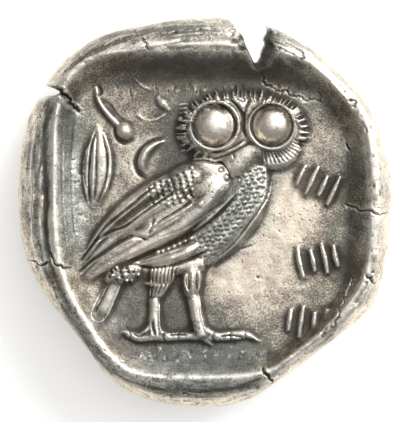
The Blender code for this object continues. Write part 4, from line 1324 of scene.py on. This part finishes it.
def makeToneGroup():
    # where dirt and toning gather, and where handling has kept the metal bright
    group, gin, gout = newGroup(
        "toningAndWear",
        [("Fine hollow", "NodeSocketFloat", 0.5), ("Hollow", "NodeSocketFloat", 0.5),
         ("Deep hollow", "NodeSocketFloat", 0.5), ("Coordinates", "NodeSocketVector", (0, 0, 0)),
         ("Dirt", "NodeSocketFloat", 1.0), ("Wear", "NodeSocketFloat", 1.0)],
        [("Dirt mask", "NodeSocketFloat"), ("Wear mask", "NodeSocketFloat"), ("Blotch", "NodeSocketFloat")])
    l = group.links
    blotch = noiseNode(group, gin.outputs["Coordinates"], 420.0, 5.0, 0.6)
    fine = mapRange(group, gin.outputs["Fine hollow"], 0.55, 0.95)
    mid = mapRange(group, gin.outputs["Hollow"], 0.56, 0.86)
    deep = mapRange(group, gin.outputs["Deep hollow"], 0.56, 0.95)
    dirt = mathNode(group, "MAXIMUM", mathNode(group, "MULTIPLY", fine, 0.7), mid)
    dirt = mathNode(group, "MAXIMUM", dirt, mathNode(group, "MULTIPLY", deep, 0.6))
    ragged = mapRange(group, blotch, 0.25, 0.7, 0.75, 1.15)
    dirt = mathNode(group, "MULTIPLY", dirt, ragged)
    dirt = mathNode(group, "MULTIPLY", dirt, gin.outputs["Dirt"], clamp=True)
    l.new(dirt, gout.inputs["Dirt mask"])
    proud = mathNode(group, "MAXIMUM", mapRange(group, gin.outputs["Hollow"], 0.44, 0.2),
                     mapRange(group, gin.outputs["Fine hollow"], 0.42, 0.1))
    l.new(mathNode(group, "MULTIPLY", proud, gin.outputs["Wear"], clamp=True), gout.inputs["Wear mask"])
    l.new(blotch, gout.inputs["Blotch"])
    return group


grainGroup = makeGrainGroup()
toneGroup = makeToneGroup()

silver = {
    "bright": (0.82, 0.79, 0.73),
    # the clean pale silver; it also paints the highlights on crests and slopes that face the key light
    "paleAndHighlit": (0.8, 0.72, 0.59),
    "rosy": (0.73, 0.6, 0.5),
    # the toned silver; it also paints the shade on walls and slopes that face away from the key light
    "tonedAndShaded": (0.165, 0.147, 0.118),
    "cool": (0.2, 0.215, 0.2),
    "coolPale": (0.66, 0.67, 0.62),
    # cream of the painted reflection of the pale floor on the steep sides
    "floorReflectionCream": (0.84, 0.74, 0.57),
    # dark grime for pits and hollows; it also paints the shade band outside the bottom crest
    "dirt": (0.044, 0.038, 0.031),
    "roughness": 0.4,
    "bumpDepth": 0.00004,
    "bump": 0.7,
    # texture scales per metre
    "grainScale": 5200,
    "mottleScale": 9000.0,
    "patchScale": 1100.0,
    "driftScale": 300.0,
    "threadScale": 520.0,
}


def makeSilver():
    mat = bpy.data.materials.new("agedSilver")
    mat.use_nodes = True
    tree = mat.node_tree
    shader = tree.nodes["Principled BSDF"]
    where = tree.nodes.new("ShaderNodeTexCoord").outputs["Object"]
    tone = tree.nodes.new("ShaderNodeGroup")
    tone.node_tree = toneGroup
    toningAndPaintedLight = tree.nodes.new("ShaderNodeAttribute")
    toningAndPaintedLight.attribute_name = "toningAndPaintedLight"
    for name, socket in (("fineHollow", "Fine hollow"), ("hollow", "Hollow"), ("deepHollow", "Deep hollow")):
        node = tree.nodes.new("ShaderNodeAttribute")
        node.attribute_name = name
        tree.links.new(node.outputs["Fac"], tone.inputs[socket])
    tree.links.new(where, tone.inputs["Coordinates"])
    grain = tree.nodes.new("ShaderNodeGroup")
    grain.node_tree = grainGroup
    tree.links.new(where, grain.inputs["Coordinates"])
    grain.inputs["Scale"].default_value = silver["grainScale"]

    patch = noiseNode(tree, where, silver["patchScale"], 4.0, 0.6)
    paleAndHighlit = mixColour(tree, mapRange(tree, patch, 0.45, 0.6), silver["paleAndHighlit"], silver["rosy"])
    coolTintAndSideReflection = tree.nodes.new("ShaderNodeAttribute")
    coolTintAndSideReflection.attribute_name = "coolTintAndSideReflection"
    paleAndHighlit = mixColour(tree, coolTintAndSideReflection.outputs["Fac"], paleAndHighlit, silver["coolPale"])
    # below zero the attribute turns the steep sides cream: a painted reflection of the pale floor
    paleAndHighlit = mixColour(tree, mapRange(tree, coolTintAndSideReflection.outputs["Fac"], 0.0, -1.0), paleAndHighlit, silver["floorReflectionCream"])
    drift = mapRange(tree, noiseNode(tree, where, silver["driftScale"], 3.0), 0.42, 0.6, 0.0, 0.6)
    tonedAndShaded = mixColour(tree, mathNode(tree, "MAXIMUM", drift, coolTintAndSideReflection.outputs["Fac"]),
                      silver["tonedAndShaded"], silver["cool"])
    mottle = noiseNode(tree, where, silver["mottleScale"], 4.0, 0.75)
    # the toning attribute holds real toning together with painted shade and painted highlights; mottle and
    # patches spread it
    spread = mathNode(tree, "ADD", toningAndPaintedLight.outputs["Fac"], mapRange(tree, mottle, 0.36, 0.64, -0.46, 0.46))
    spread = mathNode(tree, "ADD", spread, mapRange(tree, patch, 0.35, 0.65, -0.2, 0.2))
    colour = mixColour(tree, mapRange(tree, spread, 0.12, 0.88), paleAndHighlit, tonedAndShaded)
    worn = mathNode(tree, "MULTIPLY", tone.outputs["Wear mask"], 0.65)
    colour = mixColour(tree, worn, colour, silver["bright"])
    speckle = mathNode(tree, "MULTIPLY", grain.outputs["Speckle"], 0.75)
    colour = mixColour(tree, speckle, colour, silver["dirt"])
    # dark where grime fills the hollows and where the toning runs high: the torn faces and the painted shade
    # band outside the bottom crest
    dirt = mathNode(tree, "MAXIMUM", tone.outputs["Dirt mask"], mapRange(tree, spread, 1.05, 1.75))
    # dark threads that run round the pale edge
    along = tree.nodes.new("ShaderNodeMapping")
    along.inputs["Scale"].default_value = (1.0, 1.0, 2.4)
    tree.links.new(where, along.inputs["Vector"])
    thread = noiseNode(tree, along.outputs["Vector"], silver["threadScale"], 6.0, 0.62)
    thread = mathNode(tree, "SUBTRACT", thread, 0.5)
    thread = mapRange(tree, mathNode(tree, "ABSOLUTE", thread), 0.003, 0.02, 0.85, 0.0)
    thread = mathNode(tree, "MULTIPLY", thread, mapRange(tree, coolTintAndSideReflection.outputs["Fac"], -0.05, -0.5))
    dirt = mathNode(tree, "MAXIMUM", dirt, thread)
    colour = mixColour(tree, mathNode(tree, "MULTIPLY", dirt, 0.95), colour, silver["dirt"])
    tree.links.new(colour, shader.inputs["Base Color"])

    rough = mapRange(tree, tone.outputs["Blotch"], 0.3, 0.7,
                     silver["roughness"] - 0.06, silver["roughness"] + 0.08)
    rough = mathNode(tree, "ADD", rough, mathNode(tree, "MULTIPLY", dirt, 0.3))
    rough = mathNode(tree, "ADD", rough, mathNode(tree, "MULTIPLY", toningAndPaintedLight.outputs["Fac"], 0.08))
    rough = mathNode(tree, "SUBTRACT", rough, mathNode(tree, "MULTIPLY", tone.outputs["Wear mask"], 0.05))
    tree.links.new(rough, shader.inputs["Roughness"])
    metal = mathNode(tree, "SUBTRACT", 1.0, mathNode(tree, "MULTIPLY", dirt, 0.7))
    tree.links.new(metal, shader.inputs["Metallic"])

    bump = tree.nodes.new("ShaderNodeBump")
    bump.inputs["Distance"].default_value = silver["bumpDepth"]
    bump.inputs["Strength"].default_value = silver["bump"]
    tree.links.new(grain.outputs["Height"], bump.inputs["Height"])
    tree.links.new(bump.outputs["Normal"], shader.inputs["Normal"])
    return mat


body.data.materials.clear()
body.data.materials.append(makeSilver())
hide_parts("coin")
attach(body, "root")
print("silver done")


# floor, light, camera
studio = {
    "floorColour": (0.95, 0.95, 0.94),
    "floorGlow": 0.3,
    "world": 0.34,
    # place in metres, size, power, colour
    "lights": {
        "keyLight": ((0.2, 0.21, 0.18), 0.28, 1.1, (1, 1, 1)),
        "lowRight": ((0.4, 0.1, 0.16), 0.32, 0.42, (1, 1, 1)),
        "lowFar": ((0.1, 0.4, 0.16), 0.32, 0.42, (1, 1, 1)),
        "overheadCard": ((0.1, 0.12, 0.42), 0.62, 1.0, (1.0, 0.985, 0.96)),
    },
    "frameWidth": 410 * grid,   # mm across the picture
    "lens": 280,
    "sensor": 36,
    "aimY": 0.00006,
    "aimZ": 0.0032,
}

bpy.ops.object.select_all(action="DESELECT")
bpy.ops.mesh.primitive_plane_add(size=1.2, location=(0, 0, 0))
floor = bpy.context.object
floor.name = "studioFloor"
floorMat = bpy.data.materials.new("paleFloor")
floorMat.use_nodes = True
floorShader = floorMat.node_tree.nodes["Principled BSDF"]
floorShader.inputs["Base Color"].default_value = (*studio["floorColour"], 1)
floorShader.inputs["Roughness"].default_value = 0.9
floorShader.inputs["Emission Color"].default_value = (1, 1, 1, 1)
floorShader.inputs["Emission Strength"].default_value = studio["floorGlow"]   # lit table
floor.data.materials.append(floorMat)

for name, (spot, size, power, colour) in studio["lights"].items():
    light = bpy.data.lights.new(name, "AREA")
    light.shape = "DISK"
    light.size = size
    light.energy = power
    light.color = colour
    obj = bpy.data.objects.new(name, light)
    bpy.context.scene.collection.objects.link(obj)
    obj.location = spot
    obj.rotation_euler = (-Vector(spot)).to_track_quat("-Z", "Y").to_euler()

world = bpy.data.worlds.new("studioAir")
world.use_nodes = True
world.node_tree.nodes["Background"].inputs["Color"].default_value = (1, 1, 1, 1)
world.node_tree.nodes["Background"].inputs["Strength"].default_value = studio["world"]
bpy.context.scene.world = world

camData = bpy.data.cameras.new("lookDown")
camData.lens = studio["lens"]
camData.clip_start = 0.005
camData.sensor_width = studio["sensor"]
camData.sensor_fit = "HORIZONTAL"
cam = bpy.data.objects.new("lookDown", camData)
bpy.context.scene.collection.objects.link(cam)
away = studio["frameWidth"] / 1000 * camData.lens / camData.sensor_width
cam.location = (0.0, studio["aimY"], studio["aimZ"] + away)
cam.rotation_euler = (0, 0, 0)
bpy.context.scene.camera = cam
bpy.context.scene.view_settings.view_transform = "Standard"

print("ready")
